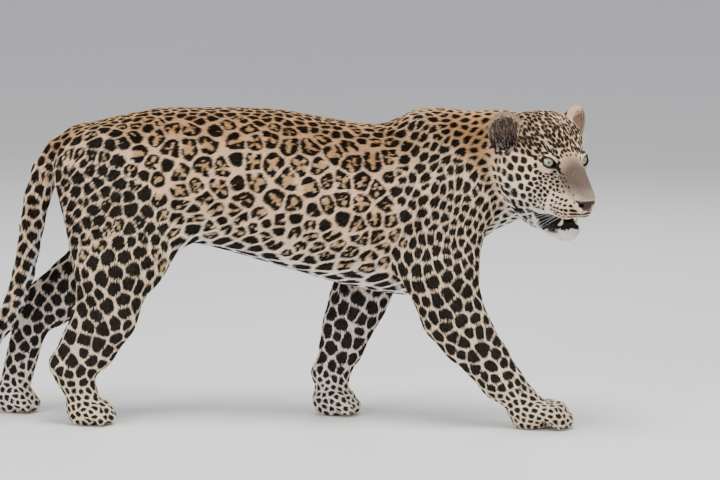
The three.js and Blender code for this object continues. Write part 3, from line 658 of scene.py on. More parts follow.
def surface_net(low, high, step):
    """A point in each cell that the surface crosses, at the mean of its crossings, and over each edge that it
    crosses a square of the four cells round that edge."""
    low = np.array(low, float)
    values = grid_values(low, high, step)
    inside = values < 0
    cells = np.zeros(np.array(values.shape) - 1, np.int8)
    corners = [(a, b, c) for a in (0, 1) for b in (0, 1) for c in (0, 1)]
    for a, b, c in corners:
        cells += inside[a:a + cells.shape[0], b:b + cells.shape[1], c:c + cells.shape[2]]
    crossed = np.stack(np.nonzero((cells > 0) & (cells < 8)), 1)
    number = np.full(cells.shape, -1)
    number[tuple(crossed.T)] = np.arange(len(crossed))
    total, count = np.zeros((len(crossed), 3)), np.zeros(len(crossed))
    for first in corners:
        for axis in range(3):
            if first[axis]:
                continue
            second = np.array(first) + np.eye(3, dtype=int)[axis]
            one, two = values[tuple((crossed + first).T)], values[tuple((crossed + second).T)]
            hit = (one < 0) != (two < 0)
            share = np.where(hit, one / np.where(hit, one - two, 1), 0)
            place = np.array(first) + share[:, None] * np.eye(3)[axis]
            total += place * hit[:, None]
            count += hit
    points = low + (crossed + total / count[:, None]) * step
    squares = []
    for axis in range(3):
        u, v = (axis + 1) % 3, (axis + 2) % 3
        one, two = np.eye(3, dtype=int)[u], np.eye(3, dtype=int)[v]
        head, tail = [slice(None)] * 3, [slice(None)] * 3
        head[axis], tail[axis] = slice(0, -1), slice(1, None)
        change = inside[tuple(head)] != inside[tuple(tail)]
        at = np.stack(np.nonzero(change), 1)
        fits = (at[:, u] > 0) & (at[:, v] > 0) & (at[:, u] < cells.shape[u]) & (at[:, v] < cells.shape[v])
        at = at[fits]
        ring = np.stack([number[tuple(p.T)] for p in (at, at - one, at - one - two, at - two)], 1)
        out = ~inside[tuple(at.T)]
        ring[out] = ring[out][:, ::-1]
        squares.append(ring)
    squares = np.concatenate(squares)
    squares = squares[np.all(squares >= 0, 1)]
    return points, np.concatenate([squares[:, [0, 1, 2]], squares[:, [0, 2, 3]]])


def cut_by_plane(points, faces, normal, offset):
    """Keeps what lies past the plane. Returns the points, the triangles off the cut's edge, and those on it,
    each as its edge's two ends and the corner across from it."""
    height = points @ normal - offset
    inside = height > 0
    count = inside[faces].sum(1)
    one, two = faces[count == 1], faces[count == 2]
    one = np.take_along_axis(one, (np.argmax(inside[one], 1)[:, None] + [0, 1, 2]) % 3, 1)
    two = np.take_along_axis(two, (np.argmin(inside[two], 1)[:, None] + [0, 1, 2]) % 3, 1)
    edges = np.concatenate([one[:, [0, 1]], one[:, [0, 2]], two[:, [0, 1]], two[:, [0, 2]]])
    pairs, which = np.unique(np.sort(edges, 1), axis=0, return_inverse=True)
    a, b = pairs.T
    share = (height[a] / (height[a] - height[b]))[:, None]
    made = points[a] + share * (points[b] - points[a])
    which = which.reshape(-1) + len(points)
    n, m = len(one), len(two)
    one_ab, one_ac, two_ab, two_ac = np.split(which, [n, 2 * n, 2 * n + m])
    rims = np.concatenate([
        np.stack([one_ab, one_ac, one[:, 0]], 1),
        np.stack([two_ac, two_ab, two[:, 1]], 1),
    ])
    whole = np.concatenate([faces[count == 3], np.stack([two[:, 1], two[:, 2], two_ac], 1)])
    return np.concatenate([points, made]), whole, rims


def joined_at_plane(fine, coarse, normal, offset):
    """Cuts both meshes at the plane and hangs the coarse one on the fine one's edge: each coarse edge there
    becomes a fan over the fine points between its two ends, in the order of their angle about the middle."""
    points, whole, rims = cut_by_plane(*fine, normal, offset)
    far_points, far_whole, far_rims = cut_by_plane(*coarse, -normal, -offset)
    middle = points[np.unique(rims[:, :2])].mean(0)
    side = unit(np.cross(normal, [0, 0, 1]))
    up = np.cross(side, normal)

    def angle(places):
        return np.arctan2((places - middle) @ up, (places - middle) @ side)

    edge = np.unique(rims[:, :2])
    edge = edge[np.argsort(angle(points[edge]))]
    angles = angle(points[edge])
    count = len(edge)
    ends = np.unique(far_rims[:, :2])
    own = angle(far_points[ends])
    after = np.searchsorted(angles, own)
    gap_before = np.abs(own - angles[(after - 1) % count])
    gap_after = np.abs(angles[after % count] - own)
    nearest = np.where(gap_before < gap_after, after - 1, after) % count
    place = np.zeros(len(far_points), int)
    place[ends] = nearest
    a, b, corner = far_rims.T
    ahead = (place[b] - place[a]) % count
    forward = np.median(np.where(ahead < count / 2, 1, -1)) > 0
    length = ahead if forward else (-ahead) % count
    way = 1 if forward else -1
    owner = np.repeat(np.arange(len(far_rims)), length)
    along = np.arange(length.sum()) - np.repeat(np.cumsum(length) - length, length)
    start = place[a][owner] + way * along
    fan = np.stack([edge[start % count], edge[(start + way) % count], corner[owner] + len(points)], 1)
    moved = np.arange(len(far_points)) + len(points)
    moved[ends] = edge[nearest]
    far_whole = moved[far_whole]
    far_whole = far_whole[(far_whole[:, 0] != far_whole[:, 1]) & (far_whole[:, 1] != far_whole[:, 2])
                          & (far_whole[:, 0] != far_whole[:, 2])]
    all_points = np.concatenate([points, far_points])
    all_faces = np.concatenate([whole, rims, far_whole, fan])
    used, renamed = np.unique(all_faces, return_inverse=True)
    return all_points[used], renamed.reshape(-1, 3)


def split_finer(points, faces, marked):
    """Cuts each marked triangle in four at its edges' middles, and its neighbours in two or three to fit."""
    edges = np.sort(faces[:, [0, 1, 1, 2, 2, 0]].reshape(-1, 2), 1)
    pairs, which = np.unique(edges, axis=0, return_inverse=True)
    which = which.reshape(-1, 3)
    split = np.zeros(len(pairs), bool)
    split[which[marked]] = True
    middle = np.full(len(pairs), -1)
    middle[split] = len(points) + np.arange(split.sum())
    made = points[pairs[split]].mean(1)
    count = split[which].sum(1)
    out = [faces[count == 0]]
    at, mid = faces[count == 3], middle[which[count == 3]]
    for rows in ((at[:, 0], mid[:, 0], mid[:, 2]), (at[:, 1], mid[:, 1], mid[:, 0]),
                 (at[:, 2], mid[:, 2], mid[:, 1]), (mid[:, 0], mid[:, 1], mid[:, 2])):
        out.append(np.stack(rows, 1))
    for wanted in (1, 2):
        chosen = count == wanted
        at, edge = faces[chosen], which[chosen]
        lone = np.argmax(split[edge], 1) if wanted == 1 else np.argmin(split[edge], 1)
        turn = (lone[:, None] + [0, 1, 2]) % 3
        at, mid = np.take_along_axis(at, turn, 1), np.take_along_axis(middle[edge], turn, 1)
        if wanted == 1:
            rows = ((at[:, 0], mid[:, 0], at[:, 2]), (mid[:, 0], at[:, 1], at[:, 2]))
        else:
            rows = ((at[:, 0], at[:, 1], mid[:, 1]), (at[:, 0], mid[:, 1], mid[:, 2]),
                    (mid[:, 1], at[:, 2], mid[:, 2]))
        out += [np.stack(row, 1) for row in rows]
    return np.concatenate([points, made]), np.concatenate(out)


def evened(points, faces, normals, amount=0.5):
    """Moves each point part of the way to the mean of its neighbours, along the surface only."""
    edges = np.concatenate([faces[:, [0, 1]], faces[:, [1, 2]], faces[:, [2, 0]]])
    total = np.stack([np.bincount(edges[:, 0], points[edges[:, 1], k], len(points)) for k in range(3)], 1)
    count = np.bincount(edges[:, 0], minlength=len(points))[:, None]
    away = total / np.maximum(count, 1) - points
    away -= (away * normals).sum(1, keepdims=True) * normals
    return points + amount * away


def point_normals(points, faces):
    """The sum of the normals of the triangles round each point, weighted by their size."""
    corners = points[faces]
    normals = np.cross(corners[:, 1] - corners[:, 0], corners[:, 2] - corners[:, 0])
    total = sum(
        np.stack([np.bincount(faces[:, k], normals[:, axis], len(points)) for axis in range(3)], 1)
        for k in range(3)
    )
    return unit(total)


# The head's finer sheet is joined to the body's where this plane cuts the neck.
NECK_PLANE, NECK_OFFSET = unit(np.array([0.779, -0.499, 0.379])), 503.0
HEAD_BOX, HEAD_STEP = ((262, -330, 410), (580, 70, 750)), 2.8
BODY_BOX, BODY_STEP = ((-1110, -230, -20), (560, 190, 760)), 7.5
fine_points, fine_faces = surface_net(*HEAD_BOX, HEAD_STEP)
fine_points = onto_surface(fine_points, 2, 1.2)
rough_points, rough_faces = surface_net(*BODY_BOX, BODY_STEP)
rough_points = onto_surface(rough_points, 2)
skin_points, skin_faces = joined_at_plane(
    (fine_points, fine_faces), (rough_points, rough_faces), NECK_PLANE, NECK_OFFSET
)


def paw_places(points):
    """True on the paws and up to the wrists."""
    return points[:, 2] < 84


def face_places(points):
    """True about the eyes and the nose, where the skin is at its finest."""
    own = in_head(points)
    own[:, 1] = np.abs(own[:, 1])
    eye = np.linalg.norm((own - (6, EYE_SIDE, 0)) / (18, 21, 17), axis=1) < 1
    nose = np.linalg.norm((own - (108, 0, -66)) / (16, 22, 17), axis=1) < 1
    return eye | nose


for wanted in (paw_places, face_places):
    marked = wanted(skin_points[skin_faces].mean(1))
    old = len(skin_points)
    skin_points, skin_faces = split_finer(skin_points, skin_faces, marked)
    skin_points[old:] = onto_surface(skin_points[old:], 2, 1.5)
skin_points = evened(skin_points, skin_faces, point_normals(skin_points, skin_faces))
skin_points = onto_surface(skin_points, 1, 1.2)
skin_normals = point_normals(skin_points, skin_faces)


# The lie of the coat, its depth and its colours follow from where on the body a place is.
part_names = list(GROUPS)


def part_shares(points):
    """How far each place belongs to each part of the body, all of them together one: a share halves with
    every 6 mm that the part is further away."""
    away = np.stack([np.minimum(blended(GROUPS[name], points), 400) for name in part_names], 1)
    near = np.exp(-(away - away.min(1, keepdims=True)) / 9)
    near /= near.sum(1, keepdims=True)
    return dict(zip(part_names, near.T))


def strongest_part(share):
    """The number of the part that each place belongs to most."""
    return np.argmax(np.stack([share[name] for name in part_names], 1), 1)


def ramp(values, low, high):
    """0 at low, 1 at high, and smooth between."""
    share = np.clip((values - low) / (high - low), 0, 1)
    return share * share * (3 - 2 * share)


def near_line(points, line):
    """For each place, the nearest span of a line: how far along it, in spans, and which way it runs there."""
    middles = (line[1:] + line[:-1]) / 2
    ways = unit(line[1:] - line[:-1])
    nearest = np.argmin(((points[:, None, :] - middles) ** 2).sum(2), 1)
    along = ((points - middles[nearest]) * ways[nearest]).sum(1)
    length = np.linalg.norm(line[1:] - line[:-1], axis=1)[nearest]
    return nearest + 0.5 + np.clip(along / length, -0.5, 0.5), ways[nearest]


LEG_PARTS = ("front_right", "front_left", "hind_right", "hind_left")
FAR = 1e6


class Place:
    """What the coat's lie, length and colours need to know of places on the skin."""

    def __init__(self, points, normals):
        self.points, self.normals = points, normals
        self.share = part_shares(points)
        self.own = in_head(points)
        self.mirrored = mirrored(self.own)
        x, y, z = points.T
        top, bottom, _ = trunk_section(x)
        self.height = (z - bottom) / (top - bottom)
        self.legs = sum(self.share[name] for name in LEG_PARTS)
        self.inner = ramp(-normals[:, 1] * np.sign(y + 1e-6), 0.15, 0.7)
        self.tail_at, self.tail_way = near_line(points, tail_line)
        ear = np.full(len(points), FAR)
        cup = np.full(len(points), FAR)
        for middle, axes in EARS.values():
            seen = (self.own - middle) @ axes.T
            raised = seen[:, 2] > -34
            ear = np.where(raised, np.minimum(ear, ear_outside(seen)), ear)
            cup = np.where(raised, np.minimum(cup, ear_hollow(seen)), cup)
        self.ear, self.cup = ear, cup
        self.mouth = np.where(self.own[:, 0] > -32, mouth_hollow(self.mirrored), FAR)
        self.eye = np.full(len(points), FAR)
        for side in EYES:
            seen = in_eye(self.own, side)
            ahead = (seen[:, 0] > 2) & (np.linalg.norm(seen, axis=1) < 34)
            self.eye = np.where(ahead, np.minimum(self.eye, lid_opening(seen)), self.eye)
        ahead, out, up = self.mirrored.T
        self.chin = self.share["head"] * ramp(up, -126, -142) * ramp(ahead, -70, 0)
        # The nose's leather: flat along its top edge, with sides that run in to a point over the lip's cleft.
        self.leather = np.maximum.reduce([
            up + 50 + 0.003 * out ** 2,
            0.75 * (out - 27.5 - 0.95 * (up + 52)),
            -75 - up,
            0.9 * (88 + 0.2 * out - ahead),
        ])


# Where the hair of the face grows away from, and how far forward the hair of each leg points.
NOSE_TOP = np.array([108.0, 0, -58])
LEG_FORWARD = {"front_right": 0.25, "front_left": -0.05, "hind_right": -0.1, "hind_left": -0.25}


def lie(place):
    """The way each hair points: from the nose back over the head, along the back to the tail, down the flanks
    and legs, and along the tail, as a mean of these by share, laid along the skin."""
    x, y, z = place.points.T
    total = np.zeros_like(place.points)
    trunk_way = np.stack([-np.ones_like(x), 0 * x, -0.55 * ramp(place.height, 1.0, 0.45)], 1)
    total += place.share["trunk"][:, None] * unit(trunk_way)
    total += place.share["neck"][:, None] * unit(np.array([-0.85, 0.12, -0.45]))
    total += place.share["tail"][:, None] * place.tail_way
    foot = ramp(z, 95, 55)
    for name, forward in LEG_FORWARD.items():
        way = unit(np.stack([forward - 0.7 * ramp(z, 350, 480) + 1.6 * foot, 0 * x, -1 + 0.75 * foot], 1))
        total += place.share[name][:, None] * way
    own = place.mirrored
    away = own - NOSE_TOP
    away[:, 1] *= 1.15
    away = unit(away)
    chin = (ramp(own[:, 2], -112, -128) * ramp(own[:, 0], -40, 10))[:, None]
    away = away * (1 - 0.7 * chin) + chin * np.array([-0.4, 0.2, -0.7])
    away[:, 1] *= np.sign(place.own[:, 1] + 1e-9)
    total += place.share["head"][:, None] * unit(away @ HEAD_TURN.T)
    on_ear = np.minimum(place.ear, place.cup) < 5
    rise = np.where(place.own[:, 1:2] > 0, EARS["left"][1][2], EARS["right"][1][2]) @ HEAD_TURN.T
    total = np.where(on_ear[:, None], rise, total)
    total -= (total * place.normals).sum(1, keepdims=True) * place.normals
    return unit(total + 1e-4)


def coat_depth(place):
    """How far the tips of the coat stand over the skin, in millimetres."""
    deep = 2.6 * place.share["trunk"] * (1 + 0.9 * ramp(place.height, 0.2, 0.0)) + 2.8 * place.share["neck"]
    deep += 3.0 * place.share["tail"] + place.legs * (1.2 + 1.2 * ramp(place.points[:, 2], 200, 460))
    own = place.mirrored
    cheek = ramp(np.linalg.norm((own - (-96, 70, -88)) / (60, 50, 60), axis=1), 1.3, 0.5)
    face = 0.7 + 1.6 * cheek + 0.9 * ramp(own[:, 0], -60, -110)
    deep += place.share["head"] * face
    bare = ramp(place.leather, 2.5, 0.0) + ramp(place.eye, 5, 1) + ramp(place.mouth, 5, 1)
    return np.maximum(deep * np.clip(1 - bare, 0, 1) * ramp(place.ear, -2.0, 6.0) + 0.05, 0.05)


def patch(points, middle, radii, soft=0.35):
    """1 in the middle of a ball of these radii and 0 outside it, soft by its share at the edge."""
    return ramp(np.linalg.norm((points - middle) / radii, axis=1), 1 + soft, 1 - soft)


def stroke(points, start, end, first, last):
    """Distance to a stroke between two points, tapering from one half width to the other."""
    return rod(start, end, first, last)[0](points)


def mix(first, second, share):
    """The first colours moved towards the second by each place's share."""
    return first + (np.asarray(second) - first) * np.asarray(share)[:, None]


def layered(colour, layers):
    """The colours with each layer's colour laid over them in turn, by that layer's share."""
    for over, share in layers:
        colour = mix(colour, over, share)
    return colour


# Coat colours, as light from 0 to 1.
TAN, FLANK, PALE, WHITE = (0.56, 0.35, 0.18), (0.90, 0.68, 0.47), (0.90, 0.75, 0.58), (0.89, 0.84, 0.77)
# The bridge's colour is its own grey-tan, painted darker as shade on the upward-facing bridge.
ROSETTE_TAN, PAD_TAN, BRIDGE_TAN_AND_SHADE = (0.56, 0.33, 0.13), (0.80, 0.56, 0.37), (0.088, 0.064, 0.052)
CHIN_WHITE, LEATHER, GUM = (0.76, 0.71, 0.65), (0.050, 0.028, 0.025), (0.035, 0.011, 0.011)
# The dark grey-tan of the ears' outsides, and near black painted shade for the hollow at the bottom of the
# right ear's cup.
EAR_RIM_AND_SHADE, EAR_CUP_SHADE = (0.125, 0.090, 0.072), (0.012, 0.009, 0.008)
# Painted shade: the right ear's inside is a dark copy of the left ear's pale inside.
RIGHT_EAR_INSIDE_SHADED, LEFT_EAR_INSIDE = (0.085, 0.055, 0.04), (0.50, 0.33, 0.25)


def ground_colour(place):
    """The coat's colour under its markings: tan over the back, paler down the flank, white below and inside the
    legs, with the face's own patches and the bare skin of nose and mouth laid over it. The right ear and the
    bridge of the nose carry painted shade."""
    z, nz = place.points[:, 2], place.normals[:, 2]
    height, legs, own, tail_at = place.height, place.legs, place.mirrored, place.tail_at
    trunk, neck, tail, head = (place.share[name] for name in ("trunk", "neck", "tail", "head"))
    flank = np.tile(np.array(FLANK), (len(z), 1))
    face = layered(flank, [
        (TAN, ramp(own[:, 2], -20, 30) * 0.55),
        # The bridge of the nose in grey-tan, made darker by painted shade on its upward face.
        (BRIDGE_TAN_AND_SHADE, 0.92 * patch(own, (65, 0, -24), (78, 43, 46))),
        (PALE, ramp(own[:, 2], -20, -70) * 0.8),
        (PAD_TAN, 0.9 * patch(own, (62, 28, -82), (42, 24, 26))),
        (CHIN_WHITE, ramp(own[:, 2], -104, -122) * ramp(own[:, 0], -130, -60)),
        (WHITE, 0.75 * patch(own, (6, 38, -20), (22, 16, 5), 0.5)),
        (WHITE, 0.35 * patch(own, (4, 34, 19), (14, 12, 8), 0.6)),
        (WHITE, 0.4 * patch(own, (-70, 72, -80), (40, 34, 26))),
    ])
    tail_under = ramp((np.cross(place.tail_way, [0, 1, 0]) * place.normals).sum(1), 0.1, 0.6)
    left_ear = ramp(place.own[:, 1], -20, 20)
    ear_inside_and_shade = mix(np.tile(RIGHT_EAR_INSIDE_SHADED, (len(z), 1)), LEFT_EAR_INSIDE, left_ear)
    colour = layered(flank, [
        (TAN, ramp(height, 0.62, 1.0) * (1 - head)),
        (PALE, ramp(height, 0.42, 0.14) * trunk),
        (WHITE, ramp(height, 0.17, 0.02) * ramp(nz, 0.1, -0.5) * trunk),
        (TAN, neck * 0.35),
        (WHITE, neck * ramp(nz, -0.1, -0.7)),
        (PALE, legs * (0.35 + 0.35 * ramp(z, 330, 90))),
        (WHITE, np.clip(0.6 * legs * place.inner * ramp(z, 640, 520), 0, 1)),
        (PALE, tail * ramp(tail_at, 4, 10)),
        (WHITE, tail * tail_under * ramp(tail_at, 2, 6)),
        (face, head),
        # The ears' outsides take their own dark grey-tan, and the right ear takes much more of it as painted
        # shade.
        (EAR_RIM_AND_SHADE, 0.8 * (place.ear < 4) * (place.cup > 4) * (1 - 0.65 * left_ear)),
        # The insides of the ears, the right one in painted shade.
        (ear_inside_and_shade, ramp(place.cup, 5.0, 1.5)),
        # Painted shade: near black deep in the right ear's cup, darkest towards its bottom.
        (EAR_CUP_SHADE, ramp(place.cup, 3.0, 1.0) * ramp(z, 664, 628) * (1 - left_ear)),
        (LEATHER, ramp(place.leather, 0.9, -0.4)),
        (GUM, ramp(place.mouth, 2.2, 0.8)),
    ])
    return np.clip(colour, 0.01, 0.95)


# MARKINGS. The coat's black rings, broken into two to five blobs on the flanks, and its solid spots
# elsewhere, each grown from a seed on the skin. Their size and the room between them follow the part of the
# body that they lie on. Skin and coat read the same ones.
def spread_over(points, faces, count, random):
    """Random places on the triangles, each with its area's share of the count, and the triangle of each."""
    corners = points[faces]
    area = np.linalg.norm(np.cross(corners[:, 1] - corners[:, 0], corners[:, 2] - corners[:, 0]), axis=1)
    chosen = np.searchsorted(np.cumsum(area) / area.sum(), (np.arange(count) + random.random(count)) / count)
    chosen = np.minimum(chosen, len(faces) - 1)
    u, v = np.sqrt(random.random(count)), random.random(count)
    weights = np.stack([1 - u, u * (1 - v), u * v], 1)
    return (corners[chosen] * weights[:, :, None]).sum(1), chosen


def seed_sizes(place):
    """The room round each seed in millimetres, how many times longer it is along the lie than across, how far
    it is a ring (0 to 1), and in millimetres the pale line between it and the next and the ring's breadth."""
    z, own = place.points[:, 2], place.mirrored
    hip = place.share["hind_right"] + place.share["hind_left"]
    shoulder = place.share["front_right"] + place.share["front_left"]
    high, foot = ramp(z, 300, 440), ramp(z, 170, 50)
    spine, belly = ramp(place.height, 0.84, 0.97), ramp(place.height, 0.20, 0.05)
    low = ramp(place.height, 0.46, 0.28)
    behind = ramp(place.points[:, 0], -380, -540)
    front = ramp(place.points[:, 0], 40, 170)
    crown, brow = ramp(own[:, 0], -40, -110), ramp(own[:, 2], -2, 18)
    cheek = ramp(own[:, 0], 4, -34) * (1 - brow)

    def blend(trunk, upper, thigh, limb, neck, tail, head):
        """A value for each part of the body, by how far each place belongs to it. The trunk's are its flank,
        low flank, belly, spine, rear and front; the head's its cheeks, forehead, crown and below the eyes."""
        flank, lower, under, back, rear, fore = trunk
        value = flank + (lower - flank) * low
        value = value + (rear - value) * behind
        value = value + (fore - value) * front
        value = value + (back - value) * spine
        value = value + (under - value) * belly
        cheeks, forehead, top, below_eye = head
        face = below_eye + (cheeks - below_eye) * cheek
        face = face + (forehead - face) * brow
        face = face + (top - face) * crown * brow
        return (place.share["trunk"] * value + shoulder * (high * upper + (1 - high) * limb)
                + hip * (high * thigh + (1 - high) * limb) + place.share["neck"] * neck
                + place.share["tail"] * tail + place.share["head"] * face)

    room = blend((41.5, 30, 34, 17, 31, 29), 19.5, 27, 30 - 17 * foot, 18.5, 27, (19, 8.6, 11, 7.2))
    longer = blend((0.9, 1.5, 2.0, 1.6, 1.1, 1.2), 1.45, 1.1, 1.15, 1.35, 1.0, (1.15, 2.0, 1.6, 1.2))
    ring = blend((1, 0.75, 0, 0, 0.75, 0.8), 0, 0.55, 0, 0, 0, (0, 0, 0, 0))
    gap = blend((4.6, 5.0, 7, 3.2, 3.8, 4.6), 4.0, 3.2, 4.0 + 0.6 * foot, 7.4, 5.4, (4.8, -0.1, 0.8, 1.5))
    breadth = blend((13.4, 12, 9, 7, 14, 12.2), 8, 12.5, 8, 7, 8, (5, 4, 4, 4))
    return room, longer, ring, gap, breadth


def bare_of_seeds(place):
    """True where the face has its own lines instead: the nose, lips, pads, eyes and ears."""
    own = place.mirrored
    muzzle = (own[:, 0] > 74) | (own[:, 0] > 30) & (own[:, 2] < -53)
    lids = np.linalg.norm((own - (-2, EYE_SIDE, -3)) / (25, 25, 22), axis=1) < 1
    bridge = (own[:, 0] > 24) & (own[:, 1] < 27)
    chin = (own[:, 2] < -104) & (own[:, 0] > -12)
    return (place.share["head"] > 0.5) & (muzzle | lids | bridge | chin | (place.ear < 7) | (place.cup < 4))


# Seeds are tried all over the skin in a random order, more of them on the head, and kept where there is room.
BODY_TRIES, HEAD_TRIES = 42000, 12000
marks = np.random.default_rng(20)
places, chosen = spread_over(skin_points, skin_faces, BODY_TRIES, marks)
head_faces = skin_faces[in_head(skin_points[skin_faces[:, 0]])[:, 0] > -150]
head_places, head_chosen = spread_over(skin_points, head_faces, HEAD_TRIES, marks)
seeds = np.concatenate([places, head_places])
seed_normals = np.concatenate([
    skin_normals[skin_faces[chosen]].mean(1),
    skin_normals[head_faces[head_chosen]].mean(1),
])
order = marks.permutation(len(seeds))
seeds, seed_normals = seeds[order], unit(seed_normals[order])
seed_place = Place(seeds, seed_normals)
room, longer, ringed, gap, breadth = seed_sizes(seed_place)
usable = ~bare_of_seeds(seed_place) & (seeds[:, 2] > 4)
room = room * marks.uniform(0.86, 1.16, len(seeds))
seed_lie = lie(seed_place)
seed_across = np.cross(seed_normals, seed_lie)


def swung(ways, across, angle):
    """Both ways turned by each row's angle in the plane that they span."""
    c, s = np.cos(angle), np.sin(angle)
    return c * ways + s * across, c * across - s * ways


seed_lie, seed_across = swung(seed_lie, seed_across, marks.normal(0, 0.22, len(seeds))[:, None])
# Distances about a seed count less along the lie than across it, and more where the skin faces another way.
stretch = np.sqrt(longer)[:, None]
frames = np.stack([seed_lie / stretch, seed_across * stretch, seed_normals * 1.2], 2)
taken, taken_normals = np.empty((len(seeds), 3)), np.empty((len(seeds), 3))
kept = []
# The second round sets smaller spots in the gaps that the first one leaves.
FULL_SPACING, FILLER_SPACING = 1.0, 0.86
for spacing in (FULL_SPACING, FILLER_SPACING):
    for number in np.flatnonzero(usable):
        count = len(kept)
        space = room[number] * spacing
        beyond = (seeds[number] - taken[:count]) @ frames[number]
        turned_away = 1 - taken_normals[:count] @ seed_normals[number]
        apart = (beyond * beyond).sum(1) + 0.5 * space ** 2 * turned_away
        if not count or apart.min() > space ** 2:
            taken[count], taken_normals[count] = seeds[number], seed_normals[number]
            kept.append(number)
    if spacing == FULL_SPACING:
        full_sized = len(kept)
        usable &= (room > 13) & (marks.random(len(usable)) < 0.5)
kept = np.array(kept)
filler = np.arange(len(kept)) >= full_sized
seeds, seed_normals, frames = seeds[kept], seed_normals[kept], frames[kept]
room, gap, longer = room[kept], gap[kept], longer[kept]
ringed = (ringed[kept] > 0.6) | (marks.random(len(kept)) < ringed[kept])
ringed |= (room > 23) & (seed_place.height[kept] > 0.3) & (seed_place.share["trunk"][kept] > 0.6)
breadth = breadth[kept] * marks.uniform(0.85, 1.15, len(kept))
phases = marks.uniform(0, 2 * np.pi, (len(kept), 4))
lobes = np.where(room < 33, 2, marks.integers(3, 6, len(kept)))
# How much of its room a spot may fill: a gap filler less, and the round spots of the cheeks less again.
on_cheek = (seed_place.share["head"][kept] > 0.5) & (room > 12.5)
fill = np.where(filler, 0.50, 0.74) * np.where(on_cheek, 0.78, 1.0)


NO_INK = 12.0


def markings(place):
    """The distance to the nearest black mark in millimetres, negative inside, and how far a place is inside a
    ring. A place's mark is its nearest seed's, and ends half a pale line short of the border with each next
    seed. A ring's band swells and thins round it with a cosine of the angle, which breaks it into blobs."""
    points = place.points
    order = np.argsort(points[:, 0])
    sorted_points, sorted_normals = points[order], place.normals[order]
    best = np.full((len(points), 3), FAR)
    which = np.zeros((len(points), 3), int)
    reach = 1.75 * room * np.sqrt(np.maximum(longer, 1 / longer))
    starts = np.searchsorted(sorted_points[:, 0], seeds[:, 0] - reach)
    ends = np.searchsorted(sorted_points[:, 0], seeds[:, 0] + reach)
    for k in range(len(seeds)):
        away = sorted_points[starts[k]:ends[k]] - seeds[k]
        near = np.flatnonzero((np.abs(away[:, 2]) < reach[k]) & (np.abs(away[:, 1]) < reach[k]))
        near = near[sorted_normals[starts[k] + near] @ seed_normals[k] > -0.3]
        own = away[near] @ frames[k]
        distance = (own * own).sum(1)
        near += starts[k]
        closest = distance < best[near, 0]
        second = ~closest & (distance < best[near, 1])
        third = ~closest & ~second & (distance < best[near, 2])
        at = near[closest]
        best[at, 1:], which[at, 1:] = best[at, :2], which[at, :2]
        best[at, 0], which[at, 0] = distance[closest], k
        at = near[second]
        best[at, 2], which[at, 2] = best[at, 1], which[at, 1]
        best[at, 1], which[at, 1] = distance[second], k
        at = near[third]
        best[at, 2], which[at, 2] = distance[third], k
    first = which[:, 0]
    own = np.einsum("ij,ijk->ik", sorted_points - seeds[first], frames[first])
    border = np.full(len(points), 1e3)
    for other in (1, 2):
        between = np.einsum("ij,ijk->ik", seeds[which[:, other]] - seeds[first], frames[first])
        apart = np.maximum(np.sqrt((between * between).sum(1)), 1)
        found = np.minimum((best[:, other] - best[:, 0]) / (2 * apart), 60)
        border = closer(border, found, 0.14 * room[first]) if other == 2 else found
    a, b, c, d = phases[first].T
    out, angle = np.sqrt(best[:, 0]), np.arctan2(own[:, 1], own[:, 0])
    limit = fill[first] * room[first]
    limit = limit * (1 + 0.07 * np.sin(2 * angle + a) + 0.06 * np.sin(3 * angle + b))
    edge = -closer(border - gap[first] / 2, limit - out, 0.12 * room[first])
    opening = np.exp(-((np.cos(angle - a) - 1) / 0.10) ** 2)
    blobs = np.cos(lobes[first] * angle + c + 0.6 * np.sin(angle + d))
    wave = np.clip(0.92 + 0.14 * np.sin(3 * d) + 0.56 * blobs - opening, -0.4, 1.12)
    band = breadth[first] / 2
    ring = np.abs(edge + band * (0.35 + 0.65 * wave)) - band * wave
    # About one ring in four has a dot in its middle.
    ring = np.where((d > 4.7) & (limit > 20), np.minimum(ring, out - 4.2), ring)
    open_ring = ringed[first] & (limit >= 1.25 * breadth[first] + 3)
    value = np.where(open_ring, ring, edge)
    ink, centre = np.empty(len(points)), np.empty(len(points))
    ink[order] = np.where(best[:, 0] > 1e5, NO_INK, value)
    centre[order] = np.where(open_ring, ramp(edge, -0.3 * breadth[first], -0.95 * breadth[first]), 0)
    # Spots shrink towards the bare bridge of the nose and in the fold between cheek and neck.
    ahead, beside, up = place.mirrored.T
    fold = 4 * place.share["head"] * place.share["neck"] * ramp(up, 0, -40)
    bridge = place.share["head"] * ramp(ahead, 4, 28) * ramp(beside, 38, 24)
    ink += 2.6 * bridge + 3.2 * ramp(fold, 0.3, 1.0)
    ink = np.where(bare_of_seeds(place), NO_INK, ink)
    return np.minimum(ink, face_lines(place)), centre


# The face's own strokes, each from one end to the other with its half width at both.
FACE_STROKES = [
    ((8, 33, -4), (22, 32, -6), 5.0, 5.6), ((22, 32, -6), (36, 30, -13), 5.4, 2.6),
    ((-16, 57, 2), (-38, 66, 3), 3.2, 3.0), ((-14, 59, -17), (-38, 68, -22), 1.8, 1.6),
    ((-2, 44, 25), (-18, 50, 28), 1.4, 2.6), ((72, 6, -126), (38, 28, -134), 12.0, 14.0),
    ((38, 28, -134), (14, 38, -136), 14.0, 15.0), ((14, 38, -136), (-8, 52, -116), 15.0, 4.0),
    ((-40, 66, -128), (-54, 70, -112), 6.4, 5.6), ((-60, 76, -94), (-84, 84, -98), 4.4, 4.8),
    ((98, 20, -58), (88, 27, -49), 2.6, 1.2), ((76, 27, -41), (74, 27, -41), 2.0, 2.0),
    ((91, 26, -43), (88, 26, -42), 1.8, 1.8),
]
